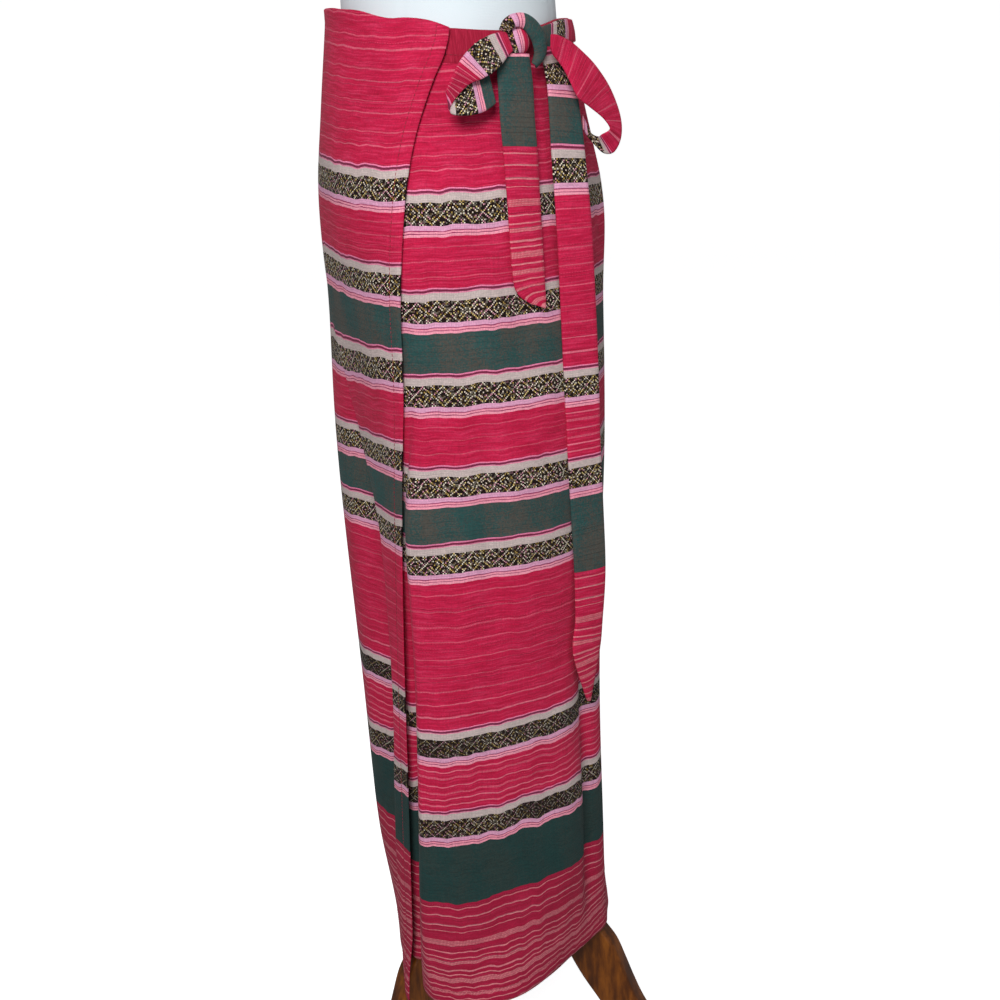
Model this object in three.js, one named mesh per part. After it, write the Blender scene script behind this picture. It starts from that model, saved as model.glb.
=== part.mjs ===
// Long banded wrap skirt tied at the waist, on a limbless dress form with a tripod stand.
// Millimetres, +Z up, the form faces -Y. Bearings turn from the front (0) to the wearer's right (90).
import * as THREE from 'three';

// ---- driving dimensions -------------------------------------------------------------
const HEM_HEIGHT = 165;        // floor to the hem
const SKIRT_LENGTH = 975;      // waist line to the hem
const WAIST_Z = HEM_HEIGHT + SKIRT_LENGTH;
const CLOTH = 1.6;             // wall of the two panels
const BAND_CLOTH = 2.2;        // wall of the waistband
const BAND_DEPTH = 28;         // waistband height
const TIE_CLOTH = 2.0;         // doubled tie
const TIE_WIDTH = 19;          // the tie is folded in half along the waist
const SEAM_GAP = 0.7;          // clear space between neighbouring pieces
const LAP = 4.5;               // outer wrap stands this far off the under panel
const LAP_GROWTH = 7;          // more room between the layers towards the hem
const FRONT_START = -95;       // under panel begins behind the left side seam
const WRAP_START = 66;         // first bearing of the outer wrap's table
const WRAP_END = 268;          // outer wrap ends at the left side seam
const BAND_END = 112;          // waistband runs under the outer wrap to here
const FORM_BELOW = 262;        // underside of the form, below the waist line
const FORM_TOP = 470;          // neck above the waist line
const FORM_SIDES = 36;
const POLE_RADIUS = 16;
const PLATE_RADIUS = 74;
const PLATE_THICK = 12;
const HUB_RADIUS = 36;
const HUB_TOP = 330;
const HUB_BASE = 232;
const COLLAR_TALL = 30;
const LEG_THICKNESS = 24;
const LEG_EASE = 5;
const LEG_BEARINGS = [0, 120, 240];
const FIT = 0.4;               // clear space between parts of the stand

// ---- skirt section radii: one row per drop below the waist line ---------------------
const DROP_ROWS = [0, 75, 155, 275, 445, 665, 855, 975];
const FRONT_BEARINGS = [-95, -60, -35, -10, 15, 35, 50, 65, 80, 90];
const FRONT_RADII = [
  [122, 119, 114, 112, 113, 116, 118, 121, 122, 122],
  [143, 136, 128, 123, 125, 131, 136, 140, 142, 142],
  [168, 157, 143, 137, 140, 149, 157, 163, 167, 167],
  [173, 160, 144, 139, 144, 156, 163, 167, 171, 172],
  [179, 162, 142, 136, 145, 161, 167, 171, 180, 186],
  [179, 154, 127, 122, 137, 151, 158, 167, 183, 188],
  [180, 152, 124, 120, 137, 150, 154, 167, 186, 189],
  [179, 153, 129, 128, 131, 138, 155, 179, 190, 190],
];
const WRAP_BEARINGS = [66, 85, 95, 105, 115, 128, 140, 152, 166, 185, 210, 238, 256, 268];
const WRAP_RADII = [
  [126, 127, 126, 124, 122, 120, 118, 117, 116, 115, 116, 120, 123.5, 126],
  [146, 147, 145, 142, 139, 134, 130, 127, 125, 124, 127, 135, 144.5, 147],
  [167, 171, 167, 160, 152, 143, 139, 137, 137, 135, 138, 152, 168, 172],
  [172, 177, 168, 156, 146, 139, 138, 138, 140, 136, 140, 156, 173, 177],
  [184, 176, 163, 148, 138, 131, 136, 140, 142, 137, 139, 156, 178, 183],
  [180, 166, 158, 148, 140, 130, 130, 134, 137, 126, 128, 150, 177, 183],
  [176, 162, 156, 149, 143, 135, 132, 131, 129, 115, 120, 146, 178, 184],
  [174, 160, 156, 151, 144, 132, 122, 117, 112, 106, 114, 144, 177, 183],
];
// how far the waist edges lie below the waist line, and the wrap's hem below the hem line
const BAND_TOP = {
  bearing: [-95, -60, -30, 0, 10, 20, 30, 41, 50, 60, 69, 76, 86, 96, 112],
  fall: [0, 3, 5.5, 7.5, 9, 13, 16.5, 18, 18, 16.5, 14.5, 12.5, 9.5, 7, 4],
};
const WRAP_TOP = {
  bearing: [66, 69, 75, 80, 86, 91, 96, 101, 106, 111, 120, 130, 150, 185, 230, 268],
  fall: [15, 13, 8, 5.5, 4, 4, 2, -1, -4, -6, -8, -10.5, -12, -10, -5, 0],
};
const WRAP_HEM = {
  bearing: [108, 111, 113.5, 116, 120, 128, 140, 155, 185, 220, 268],
  fall: [44, 40, 30, 20, 14, 10, 8, 6, 3, 0, 0],
};
const HEM_FLARE = { from: 930, tall: 85, wide: 7, out: 10 };
// free edge of the outer wrap, and the deep fold line behind it
const EDGE = {
  drop: [0, 20, 30, 40, 52, 70, 92, 115, 155, 242, 332, 425, 530, 630, 740, 860, 975],
  bearing: [67.6, 68.6, 69.8, 71.4, 74, 77, 80, 82, 84, 87, 88.5, 92.5, 97, 100.5, 103.5, 106.5, 109],
};
const DEEP_FOLD = {
  drop: [160, 275, 400, 470, 540, 665, 760, 860, 975],
  bearing: [150, 138, 120, 112, 110, 111, 115, 118, 118],
  depth: [0, 4, 9, 12, 16, 26, 24, 14, 3],
};
// corner where the under panel turns in below the outer wrap
const CORNER = {
  drop: [0, 330, 430, 530, 640, 755, 870, 940, 975],
  bearing: [60, 78, 87, 88.5, 89, 90.4, 91.8, 91, 88.5],
  turn: [14, 12, 6, 6, 7, 8, 11, 16, 22],
};
// local folds: bearing, drop, half widths, depth (a groove is negative)
const CREASES = [
  { bearing: 51, drop: 270, wide: 5, tall: 70, depth: -3 },
  { bearing: 65, drop: 490, wide: 4.5, tall: 90, depth: -4 },
  { bearing: -12, drop: 185, wide: 5, tall: 55, depth: 4 },
];
// folds that run on to the hem: the front groove, the ridge beside it, and rows of soft waves
const GROOVE = { bearing: 21, wide: 5.5, depth: 11, fades: 860, over: 110 };
const RIDGE = { bearing: 6, wide: 8, depth: 5 };
const LOW_FOLDS = { from: 500, over: 120 };
const LEFT_WAVES = { from: -20, to: -72, ease: 20, out: 14, pitch: 12, depth: 4 };
const BACK_WAVES = { from: 172, to: 240, ease: 20, pitch: 11, depth: 4.5 };
const WAVES_GROW = { from: 250, over: 500 };

// ---- helpers ------------------------------------------------------------------------
const rad = (a) => a * Math.PI / 180;
const hump = (x, half) => Math.exp(-((x / half) ** 2));

function step(x) {
  const t = Math.min(1, Math.max(0, x));
  return t * t * (3 - 2 * t);
}

function cubic(xs, ys, x) {
  const n = xs.length;
  if (x <= xs[0]) return ys[0];
  if (x >= xs[n - 1]) return ys[n - 1];
  let i = 0;
  while (x > xs[i + 1]) i += 1;
  const rise = (a, b) => (ys[b] - ys[a]) / (xs[b] - xs[a]);
  const slope = (k) => rise(Math.max(0, k - 1), Math.min(n - 1, k + 1));
  const h = xs[i + 1] - xs[i];
  const u = (x - xs[i]) / h;
  const u2 = u * u;
  const u3 = u2 * u;
  return (2 * u3 - 3 * u2 + 1) * ys[i] + (u3 - 2 * u2 + u) * slope(i) * h
    + (3 * u2 - 2 * u3) * ys[i + 1] + (u3 - u2) * slope(i + 1) * h;
}

const table = (bearings, rows, b, d) => cubic(DROP_ROWS, rows.map((r) => cubic(bearings, r, b)), d);
const edgeAt = (d) => cubic(EDGE.drop, EDGE.bearing, d);
const foldAt = (d) => cubic(DEEP_FOLD.drop, DEEP_FOLD.bearing, d);
const bandTop = (b) => cubic(BAND_TOP.bearing, BAND_TOP.fall, b);
const wavesGrown = (d) => step((d - WAVES_GROW.from) / WAVES_GROW.over);

function wrapRadius(b, d) {
  let r = table(WRAP_BEARINGS, WRAP_RADII, b, d);
  if (d > DEEP_FOLD.drop[0]) {
    const u = b - foldAt(d);
    r -= cubic(DEEP_FOLD.drop, DEEP_FOLD.depth, d) * step((u + 1) / 6) * (1 - step((u - 5) / 30));
  }
  const w = BACK_WAVES;
  const back = step((b - w.from) / w.ease) * (1 - step((b - w.to) / w.ease)) * wavesGrown(d);
  const flare = step((d - HEM_FLARE.from) / HEM_FLARE.tall) * hump(b - edgeAt(d), HEM_FLARE.wide);
  return r + w.depth * back * Math.sin(rad((b - w.from) * w.pitch)) + HEM_FLARE.out * flare;
}

function frontRadius(b, d) {
  const corner = cubic(CORNER.drop, CORNER.bearing, d);
  const turn = cubic(CORNER.drop, CORNER.turn, d);
  let r = table(FRONT_BEARINGS, FRONT_RADII, Math.min(b, 90), d);
  if (b > corner) {
    const room = LAP + LAP_GROWTH * step((d - 200) / 700);
    const u = step((b - corner) / turn);
    r = r * (1 - u) + (wrapRadius(Math.max(b, WRAP_START), d) - room) * u;
    if (b > edgeAt(d) - 3) r = Math.min(r, wrapRadius(b, d) - LAP);
  }
  const low = step((d - LOW_FOLDS.from) / LOW_FOLDS.over);
  const groove = low * (1 - step((d - GROOVE.fades) / GROOVE.over));
  r -= GROOVE.depth * groove * hump(b - GROOVE.bearing, GROOVE.wide);
  r += RIDGE.depth * low * hump(b - RIDGE.bearing, RIDGE.wide);
  for (const c of CREASES) r += c.depth * hump(b - c.bearing, c.wide) * hump(d - c.drop, c.tall);
  const w = LEFT_WAVES;
  const left = step((w.from - b) / w.ease) * (1 - step((w.to - b) / w.out)) * wavesGrown(d);
  return r + w.depth * left * Math.sin(rad((b - w.from) * w.pitch));
}

const polar = (b, r, z) => [-r * Math.sin(rad(b)), -r * Math.cos(rad(b)), z];

function mesh(name, positions, index, material) {
  const g = new THREE.BufferGeometry();
  const p = (i) => new THREE.Vector3(...positions[i]);
  let volume = 0;
  for (let i = 0; i < index.length; i += 3) {
    volume += p(index[i]).dot(p(index[i + 1]).cross(p(index[i + 2])));
  }
  if (volume < 0) index.reverse();
  g.setAttribute('position', new THREE.Float32BufferAttribute(positions.flat(), 3));
  g.setIndex(index);
  g.computeVertexNormals();
  const m = new THREE.Mesh(g, material);
  m.name = name;
  return m;
}

// closed wall round a grid of middle points, grid[row][column]
function wall(name, grid, thickness, material) {
  const rows = grid.length;
  const cols = grid[0].length;
  const clamp = (k, n) => Math.min(n - 1, Math.max(0, k));
  const at = (i, j) => new THREE.Vector3(...grid[clamp(i, rows)][clamp(j, cols)]);
  const pos = [];
  const index = [];
  for (const side of [1, -1]) {
    for (let i = 0; i < rows; i += 1) {
      for (let j = 0; j < cols; j += 1) {
        const along = at(i, j + 1).sub(at(i, j - 1));
        const down = at(i + 1, j).sub(at(i - 1, j));
        const n = along.cross(down).normalize().multiplyScalar(side * thickness / 2);
        pos.push(at(i, j).add(n).toArray());
      }
    }
  }
  const id = (s, i, j) => s * rows * cols + i * cols + j;
  const quad = (a, b, c, d) => index.push(a, b, c, a, c, d);
  for (let i = 0; i < rows - 1; i += 1) {
    for (let j = 0; j < cols - 1; j += 1) {
      quad(id(0, i, j), id(0, i, j + 1), id(0, i + 1, j + 1), id(0, i + 1, j));
      quad(id(1, i, j), id(1, i + 1, j), id(1, i + 1, j + 1), id(1, i, j + 1));
    }
  }
  const last = [rows - 1, cols - 1];
  for (let j = 0; j < last[1]; j += 1) {
    quad(id(0, 0, j), id(1, 0, j), id(1, 0, j + 1), id(0, 0, j + 1));
    quad(id(0, last[0], j), id(0, last[0], j + 1), id(1, last[0], j + 1), id(1, last[0], j));
  }
  for (let i = 0; i < last[0]; i += 1) {
    quad(id(0, i, 0), id(0, i + 1, 0), id(1, i + 1, 0), id(1, i, 0));
    quad(id(0, i, last[1]), id(1, i, last[1]), id(1, i + 1, last[1]), id(0, i + 1, last[1]));
  }
  return mesh(name, pos, index, material);
}

// stacked rings closed at both ends
function lofted(name, rings, material) {
  const n = rings[0].length;
  const pos = rings.flat();
  const index = [];
  for (let i = 0; i < rings.length - 1; i += 1) {
    for (let j = 0; j < n; j += 1) {
      const k = (j + 1) % n;
      const a = i * n;
      const b = (i + 1) * n;
      index.push(a + j, a + k, b + k, a + j, b + k, b + j);
    }
  }
  for (const [row, flip] of [[0, true], [rings.length - 1, false]]) {
    const c = pos.length;
    const mid = [0, 1, 2].map((k) => rings[row].reduce((sum, q) => sum + q[k] / n, 0));
    pos.push(mid);
    for (let j = 0; j < n; j += 1) {
      const a = row * n + j;
      const b = row * n + (j + 1) % n;
      index.push(...(flip ? [c, b, a] : [c, a, b]));
    }
  }
  return mesh(name, pos, index, material);
}

// ribbon between two edge lines; each station is [ax, ay, az, bx, by, bz]
function ribbonGrid(stations, rows, cols, bulge) {
  const keys = stations.map((s, i) => i);
  const column = (k) => stations.map((s) => s[k]);
  const grid = [];
  for (let i = 0; i <= rows; i += 1) {
    const t = (i / rows) * (stations.length - 1);
    const e = [0, 1, 2, 3, 4, 5].map((k) => cubic(keys, column(k), t));
    const a = new THREE.Vector3(e[0], e[1], e[2]);
    const b = new THREE.Vector3(e[3], e[4], e[5]);
    const out = new THREE.Vector3((a.x + b.x) / 2, (a.y + b.y) / 2, 0).normalize();
    const line = [];
    for (let j = 0; j <= cols; j += 1) {
      const u = j / cols;
      const lift = out.clone().multiplyScalar(bulge * 4 * u * (1 - u));
      line.push(a.clone().lerp(b, u).add(lift).toArray());
    }
    grid.push(line);
  }
  return grid;
}

// points from a to b, without b
const lerpList = (a, b, n) => Array.from({ length: n }, (_, i) => a + (b - a) * (i / n));

// ---- materials ----------------------------------------------------------------------
function paint(color, roughness, metalness = 0) {
  return new THREE.MeshStandardMaterial({ color, roughness, metalness });
}
const cloth = () => paint(0xb02847, 0.85);
const green = () => paint(0x2f4f4b, 0.85);
const jersey = () => paint(0xdfe9ec, 0.8);
const wood = () => paint(0x4a2a12, 0.3);
const steel = () => paint(0x8a8a8a, 0.35, 0.9);

const group = new THREE.Group();
group.name = 'wrap_skirt_on_form';

// ---- skirt panels -------------------------------------------------------------------
const DROPS = [0, 18, 38, 60, 88, 120, 155, 195, 235, 275, 320, 362, 404, 445, 490, 535, 580, 625, 668,
  710, 755, 800, 845, 888, 930, SKIRT_LENGTH];
const FRONT_COLUMNS = [FRONT_START, -84, -76, -68, -60, -52, -44, -36, -28, -21, -14, -7, -1, 5, 11, 16, 21,
  26, 32, 39, 45, 51, 57, 63, 70];

function frontColumns(d) {
  const corner = Math.max(cubic(CORNER.drop, CORNER.bearing, d), 77);
  const turn = cubic(CORNER.drop, CORNER.turn, d);
  const fold = foldAt(d);
  const near = [-4, -1.5].map((a) => corner + a);
  const turning = [0, 0.18, 0.36, 0.54, 0.75].map((u) => corner + u * turn);
  return [...FRONT_COLUMNS, ...near, ...turning, ...lerpList(corner + turn, fold - 2, 3),
    ...lerpList(fold - 2, fold + 6, 4), fold + 6, fold + 11, fold + 16];
}
function wrapColumns(d) {
  const fold = foldAt(d);
  return [...lerpList(edgeAt(d), fold - 3, 7), ...lerpList(fold - 3, fold + 6, 5),
    ...lerpList(fold + 6, fold + 36, 5), ...lerpList(fold + 36, WRAP_END, 14), WRAP_END];
}
function frontPoint(b, d) {
  return polar(b, frontRadius(b, d), WAIST_Z - d);
}
function frontRow(d) {
  return frontColumns(d).map((b) => {
    const top = bandTop(b) + BAND_DEPTH + SEAM_GAP;
    return frontPoint(b, top + (SKIRT_LENGTH - top) * (d / SKIRT_LENGTH));
  });
}
function wrapDrop(b, d) {
  const top = cubic(WRAP_TOP.bearing, WRAP_TOP.fall, b);
  const bottom = SKIRT_LENGTH + cubic(WRAP_HEM.bearing, WRAP_HEM.fall, b);
  return top + (bottom - top) * (d / SKIRT_LENGTH);
}
function wrapRow(d) {
  const columns = wrapColumns(d);
  for (let k = 0; k < 4; k += 1) columns[0] = edgeAt(wrapDrop(columns[0], d));
  return columns.map((b) => {
    const drop = wrapDrop(b, d);
    return polar(b, wrapRadius(b, drop), WAIST_Z - drop);
  });
}
group.add(wall('front_panel', DROPS.map(frontRow), CLOTH, cloth()));
group.add(wall('outer_panel', DROPS.map(wrapRow), CLOTH, cloth()));

const bandColumns = [...lerpList(FRONT_START, BAND_END, 34), BAND_END];
const bandGrid = [0, 11, 22.5, BAND_DEPTH].map((d) => bandColumns.map((b) => frontPoint(b, bandTop(b) + d)));
group.add(wall('waistband', bandGrid, BAND_CLOTH, cloth()));

// ---- tie round the waist, knot, loops and tails -------------------------------------
const WAIST_TIE = { from: -86, to: 30, off: 2.7, below: 1, swell: 0.8 };
const tieColumns = [...lerpList(WAIST_TIE.from, WAIST_TIE.to, 22), WAIST_TIE.to];
const tieGrid = [0, 0.5, 1].map((u) => tieColumns.map((b) => {
  const d = bandTop(b) + WAIST_TIE.below + TIE_WIDTH * u;
  return polar(b, frontRadius(b, d) + WAIST_TIE.off + WAIST_TIE.swell * Math.sin(Math.PI * u), WAIST_Z - d);
}));
group.add(wall('tie_waist', tieGrid, TIE_CLOTH, green()));

const KNOT = { bearing: 41.5, drop: 26, off: 10.6, across: 10.5, deep: 8.3, tall: 14, lobes: 3, lobe: 0.05 };
const KNOT_RINGS = 12;
const KNOT_SIDES = 20;
function knotRing(i) {
  const q = rad(KNOT.bearing);
  const r = frontRadius(KNOT.bearing, KNOT.drop) + KNOT.off;
  const c = polar(KNOT.bearing, r, WAIST_Z - KNOT.drop);
  const lat = Math.PI * (i / KNOT_RINGS) - Math.PI / 2;
  return Array.from({ length: KNOT_SIDES }, (_, j) => {
    const a = (j / KNOT_SIDES) * 2 * Math.PI;
    const size = Math.cos(lat) * (1 + KNOT.lobe * Math.cos(KNOT.lobes * a + 2 * lat));
    const t = KNOT.across * size * Math.cos(a);
    const o = KNOT.deep * size * Math.sin(a);
    return [c[0] - t * Math.cos(q) - o * Math.sin(q), c[1] + t * Math.sin(q) - o * Math.cos(q),
      c[2] + KNOT.tall * Math.sin(lat)];
  });
}
const knotRings = Array.from({ length: KNOT_RINGS - 1 }, (_, i) => knotRing(i + 1));
group.add(lofted('knot_core', knotRings, cloth()));

// station columns: ax, ay, az, bx, by, bz (axis at 0, 0, floor at 0)
const KNOT_WRAP = [
  [-97.5, -86.5, 1123, -98, -94, 1119.5],
  [-99.5, -91, 1129.5, -99.5, -98, 1123],
  [-97, -98, 1134, -98, -102.5, 1124.5],
  [-90, -106.5, 1134.5, -93, -107, 1122.5],
  [-83, -114, 1129, -91, -111, 1117],
  [-76.5, -119, 1119, -87, -113, 1110.5],
  [-74, -120.5, 1106.5, -86, -114, 1103],
  [-77, -118.5, 1097, -86.5, -113, 1098],
  [-85, -114, 1090, -88.5, -112, 1094],
];
const LOOP_SMALL = [
  [-97, -91.9, 1120, -100, -98, 1105],
  [-108, -87, 1119, -109, -96, 1100],
  [-120, -82, 1116, -119, -94, 1094],
  [-134, -76, 1110, -130, -90, 1088],
  [-149, -69, 1098, -138, -83, 1083],
  [-159, -64, 1084, -145, -72, 1078],
  [-163, -60, 1074, -158, -62, 1064],
  [-153, -59, 1077, -160, -62, 1056],
  [-141, -66, 1082, -153, -74, 1054],
  [-129, -73, 1088, -139, -83, 1056],
  [-117, -80, 1092, -127, -90, 1062],
];
const LOOP_LARGE = [
  [-74, -125.5, 1116.5, -73.5, -124.5, 1105.5],
  [-69, -130, 1115.5, -71, -126, 1100],
  [-58, -136.5, 1111, -64.5, -131.5, 1090.5],
  [-46.5, -144, 1102.5, -64.5, -138.5, 1077.5],
  [-34.5, -154, 1088.5, -62.5, -145, 1063.5],
  [-22.5, -163.5, 1068.5, -50, -152, 1054.5],
  [-15, -170, 1044.5, -36, -161, 1043.5],
  [-15.5, -170.5, 1026, -30, -165, 1034],
  [-19.5, -165, 1013.5, -30.5, -157.5, 1029],
  [-24, -156, 1013, -28.5, -152.5, 1027],
  [-29.5, -147, 1023.5, -29, -145.5, 1031.5],
  [-35, -140.5, 1035, -32, -139.5, 1046.5],
];
group.add(wall('knot_wrap', ribbonGrid(KNOT_WRAP, 24, 2, 2.5), TIE_CLOTH, green()));
group.add(wall('loop_small', ribbonGrid(LOOP_SMALL, 36, 3, 0), TIE_CLOTH, cloth()));
group.add(wall('loop_large', ribbonGrid(LOOP_LARGE, 40, 3, 0), TIE_CLOTH, cloth()));

// tails hang from the knot: bearing, stand-off and drop of each edge
const TAIL_SHORT = [
  [51.6, 12.9, 38.3, 38.6, 14, 38.3],
  [52.1, 11, 67, 38.6, 12.5, 66],
  [52.6, 10, 92, 39.7, 11, 92],
  [52.7, 7.2, 117, 40.2, 8, 119],
  [52.9, 5, 159, 41.2, 5, 166],
  [52.8, 4, 195, 41.4, 4.4, 206],
  [52.4, 4.4, 228, 41.5, 5, 236],
  [50.8, 4.6, 243, 41.6, 5.6, 250],
  [46.8, 5, 252, 41.9, 6, 257.5],
];
const TAIL_LONG = [
  [31.6, 11, 33, 15.2, 13, 34],
  [30.1, 10.5, 61, 15.8, 17, 62],
  [31.5, 9.8, 91, 18.1, 19.5, 94],
  [33.3, 8.1, 121, 20.7, 20.5, 125],
  [34.8, 7, 181, 23.4, 23.5, 186],
  [34.4, 4.2, 253, 23.1, 23, 257],
  [34.3, 2.2, 328, 22.9, 22, 332],
  [34.4, 2.0, 395, 22.7, 20.5, 401],
  [33.9, 2.2, 455, 22.3, 22, 462],
  [33, 4.5, 518, 21.3, 24.6, 526],
  [33, 6.5, 571, 21.7, 29, 581],
  [34.2, 6.7, 608, 22.4, 29, 612],
  [26.2, 13, 668, 24.6, 17, 670],
];
const hung = (rows) => rows.map(([ba, oa, da, bb, ob, db]) => [
  ...polar(ba, frontRadius(ba, da) + oa, WAIST_Z - da),
  ...polar(bb, frontRadius(bb, db) + ob, WAIST_Z - db),
]);
group.add(wall('tail_short', ribbonGrid(hung(TAIL_SHORT), 20, 2, 1), TIE_CLOTH, green()));
group.add(wall('tail_long', ribbonGrid(hung(TAIL_LONG), 36, 2, 1), TIE_CLOTH, cloth()));

// ---- dress form: height above the waist line, half width, front depth, back depth ---
const FORM_ROWS = [
  [-FORM_BELOW, 96, 80, 84],
  [-256, 112, 92, 97],
  [-240, 124, 99, 104],
  [-200, 137, 107, 112],
  [-155, 146.4, 114.4, 118.4],
  [-110, 144.4, 114.4, 116.4],
  [-75, 132, 110, 111],
  [-40, 117, 103, 103],
  [-12, 110, 102, 101],
  [20, 108, 101, 100],
  [60, 112, 103, 99],
  [105, 122, 109, 101],
  [145, 133, 120, 104],
  [180, 143, 132, 106],
  [215, 149, 137, 106],
  [250, 151, 127, 105],
  [285, 153, 109, 104],
  [320, 156, 95, 101],
  [345, 154, 84, 96],
  [365, 143, 75, 88],
  [382, 118, 66, 77],
  [396, 88, 60, 67],
  [412, 66, 57, 61],
  [435, 58, 55, 57],
  [FORM_TOP, 56, 54, 55],
];
function ellipseRing(z, half, front, back, sides) {
  return Array.from({ length: sides }, (_, j) => {
    const q = (j / sides) * 2 * Math.PI;
    return [half * Math.cos(q), (Math.sin(q) > 0 ? back : front) * Math.sin(q), z];
  });
}
const formRings = FORM_ROWS.map(([h, half, front, back]) => (
  ellipseRing(WAIST_Z + h, half, front, back, FORM_SIDES)));
group.add(lofted('form_torso', formRings, jersey()));

// profiles are radius and height above the given foot
function turned(name, foot, profile, material, sides = 24) {
  return lofted(name, profile.map(([r, h]) => ellipseRing(foot + h, r, r, r, sides)), material);
}
const CAP_PROFILE = [[50, 0], [53, 1.6], [53, 8.6], [48, 12.6], [16, 15.6], [13, 21.6], [16, 27.6],
  [12, 34.6], [4, 37.6]];
const COLLAR_PROFILE = [[24, 0], [26, 2.6], [26, COLLAR_TALL - 6.4], [22, COLLAR_TALL - FIT]];
const HUB_TALL = HUB_TOP - HUB_BASE;
const HUB_PROFILE = [[10, -26], [18, -20], [20, -10], [HUB_RADIUS - 6, 0], [HUB_RADIUS, 8],
  [HUB_RADIUS, HUB_TALL - 8], [HUB_RADIUS - 8, HUB_TALL]];
const PLATE_PROFILE = [[PLATE_RADIUS - 2, 0], [PLATE_RADIUS, 2], [PLATE_RADIUS, PLATE_THICK - 2],
  [PLATE_RADIUS - 2, PLATE_THICK]];
const plateFoot = WAIST_Z - FORM_BELOW - PLATE_THICK - FIT;
const poleFoot = HUB_TOP + COLLAR_TALL + FIT;
group.add(turned('neck_cap', WAIST_Z + FORM_TOP + FIT, CAP_PROFILE, wood()));
group.add(turned('form_plate', plateFoot, PLATE_PROFILE, wood()));
group.add(turned('pole', poleFoot, [[POLE_RADIUS, 0], [POLE_RADIUS, plateFoot - FIT - poleFoot]], steel(), 28));
group.add(turned('collar', HUB_TOP + FIT, COLLAR_PROFILE, steel(), 28));
group.add(turned('hub', HUB_BASE, HUB_PROFILE, wood()));

// ---- curved legs: height, inner reach, outer reach in the leg's own plane -----------
const LEG_ROWS = [
  [0, 168, 222],
  [14, 158, 206],
  [38, 136, 186],
  [60, 121, 172],
  [85, 104, 161],
  [110, 90, 151.5],
  [135, 78, 141],
  [155, 69, 126],
  [175, 61, 114],
  [200, 53, 106.5],
  [225, 46, 96],
  [250, 39.5, 86],
  [275, 37.5, 73],
  [296, 37, 60],
  [308, 36.8, 48],
];
function legRing(bearing, [z, inner, outer]) {
  const half = LEG_THICKNESS / 2;
  const ease = Math.min(LEG_EASE, (outer - inner) / 4);
  const corners = [
    [inner, -half + ease], [inner + ease, -half], [outer - ease, -half], [outer, -half + ease],
    [outer, half - ease], [outer - ease, half], [inner + ease, half], [inner, half - ease],
  ];
  const q = rad(bearing);
  return corners.map(([reach, across]) => [
    -Math.sin(q) * reach + Math.cos(q) * across,
    -Math.cos(q) * reach - Math.sin(q) * across,
    z,
  ]);
}
LEG_BEARINGS.forEach((bearing, k) => {
  group.add(lofted(`leg_${k + 1}`, LEG_ROWS.map((row) => legRing(bearing, row)), wood()));
});

// ---- bottom centre of the whole box at the origin -----------------------------------
const box = new THREE.Box3().setFromObject(group);
const shift = box.getCenter(new THREE.Vector3()).setZ(box.min.z).negate();
for (const m of group.children) m.geometry.translate(shift.x, shift.y, shift.z);

export default group;
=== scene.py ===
"""Long banded wrap skirt tied with a bow, worn on a limbless dress form with a tripod stand."""

import logging
import math
from dataclasses import dataclass, field
from enum import Enum
from typing import Optional, Sequence, Union

import bpy
import numpy as np
from mathutils import Matrix, Vector


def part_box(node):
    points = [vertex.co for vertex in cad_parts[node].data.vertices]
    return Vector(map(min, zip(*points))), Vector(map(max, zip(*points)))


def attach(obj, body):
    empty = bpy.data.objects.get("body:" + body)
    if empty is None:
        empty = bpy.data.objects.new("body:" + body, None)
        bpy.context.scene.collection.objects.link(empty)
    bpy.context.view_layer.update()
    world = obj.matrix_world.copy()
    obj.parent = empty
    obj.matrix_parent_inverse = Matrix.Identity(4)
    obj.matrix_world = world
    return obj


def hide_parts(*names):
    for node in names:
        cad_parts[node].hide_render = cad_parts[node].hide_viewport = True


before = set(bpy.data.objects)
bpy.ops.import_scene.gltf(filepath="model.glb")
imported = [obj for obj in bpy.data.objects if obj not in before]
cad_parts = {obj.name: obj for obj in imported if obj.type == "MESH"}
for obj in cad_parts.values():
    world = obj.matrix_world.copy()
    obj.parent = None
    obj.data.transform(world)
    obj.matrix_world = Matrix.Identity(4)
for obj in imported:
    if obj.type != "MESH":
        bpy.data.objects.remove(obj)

MM = 0.001
BODY = "root"
CHART_UV = "chart"
FORM_BASE = 262.0  # from the waist down to the form's underside, in millimetres
TURNED_GRAIN = (38.0, 38.0, 90.0)  # grain of the turned wooden pieces
COTTON_GLOSS = {"Sheen_Weight": 0.04, "Sheen_Roughness": 0.5, "Specular_IOR_Level": 0.16}
LOG = logging.getLogger("wrap_skirt")

Number = Union[float, bpy.types.NodeSocket]
Colour = tuple[float, float, float]
Array = np.ndarray


# ---- small tools ---------------------------------------------------------------------


def smooth(x: Array) -> Array:
    """Return the smooth step of x, from 0 at 0 to 1 at 1."""
    t = np.clip(x, 0.0, 1.0)
    return t * t * (3.0 - 2.0 * t)


def bump(x: Array, half_width: float) -> Array:
    """Return a soft hump of height 1 and the given half width, centred on 0."""
    return np.exp(-((x / half_width) ** 2))


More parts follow.
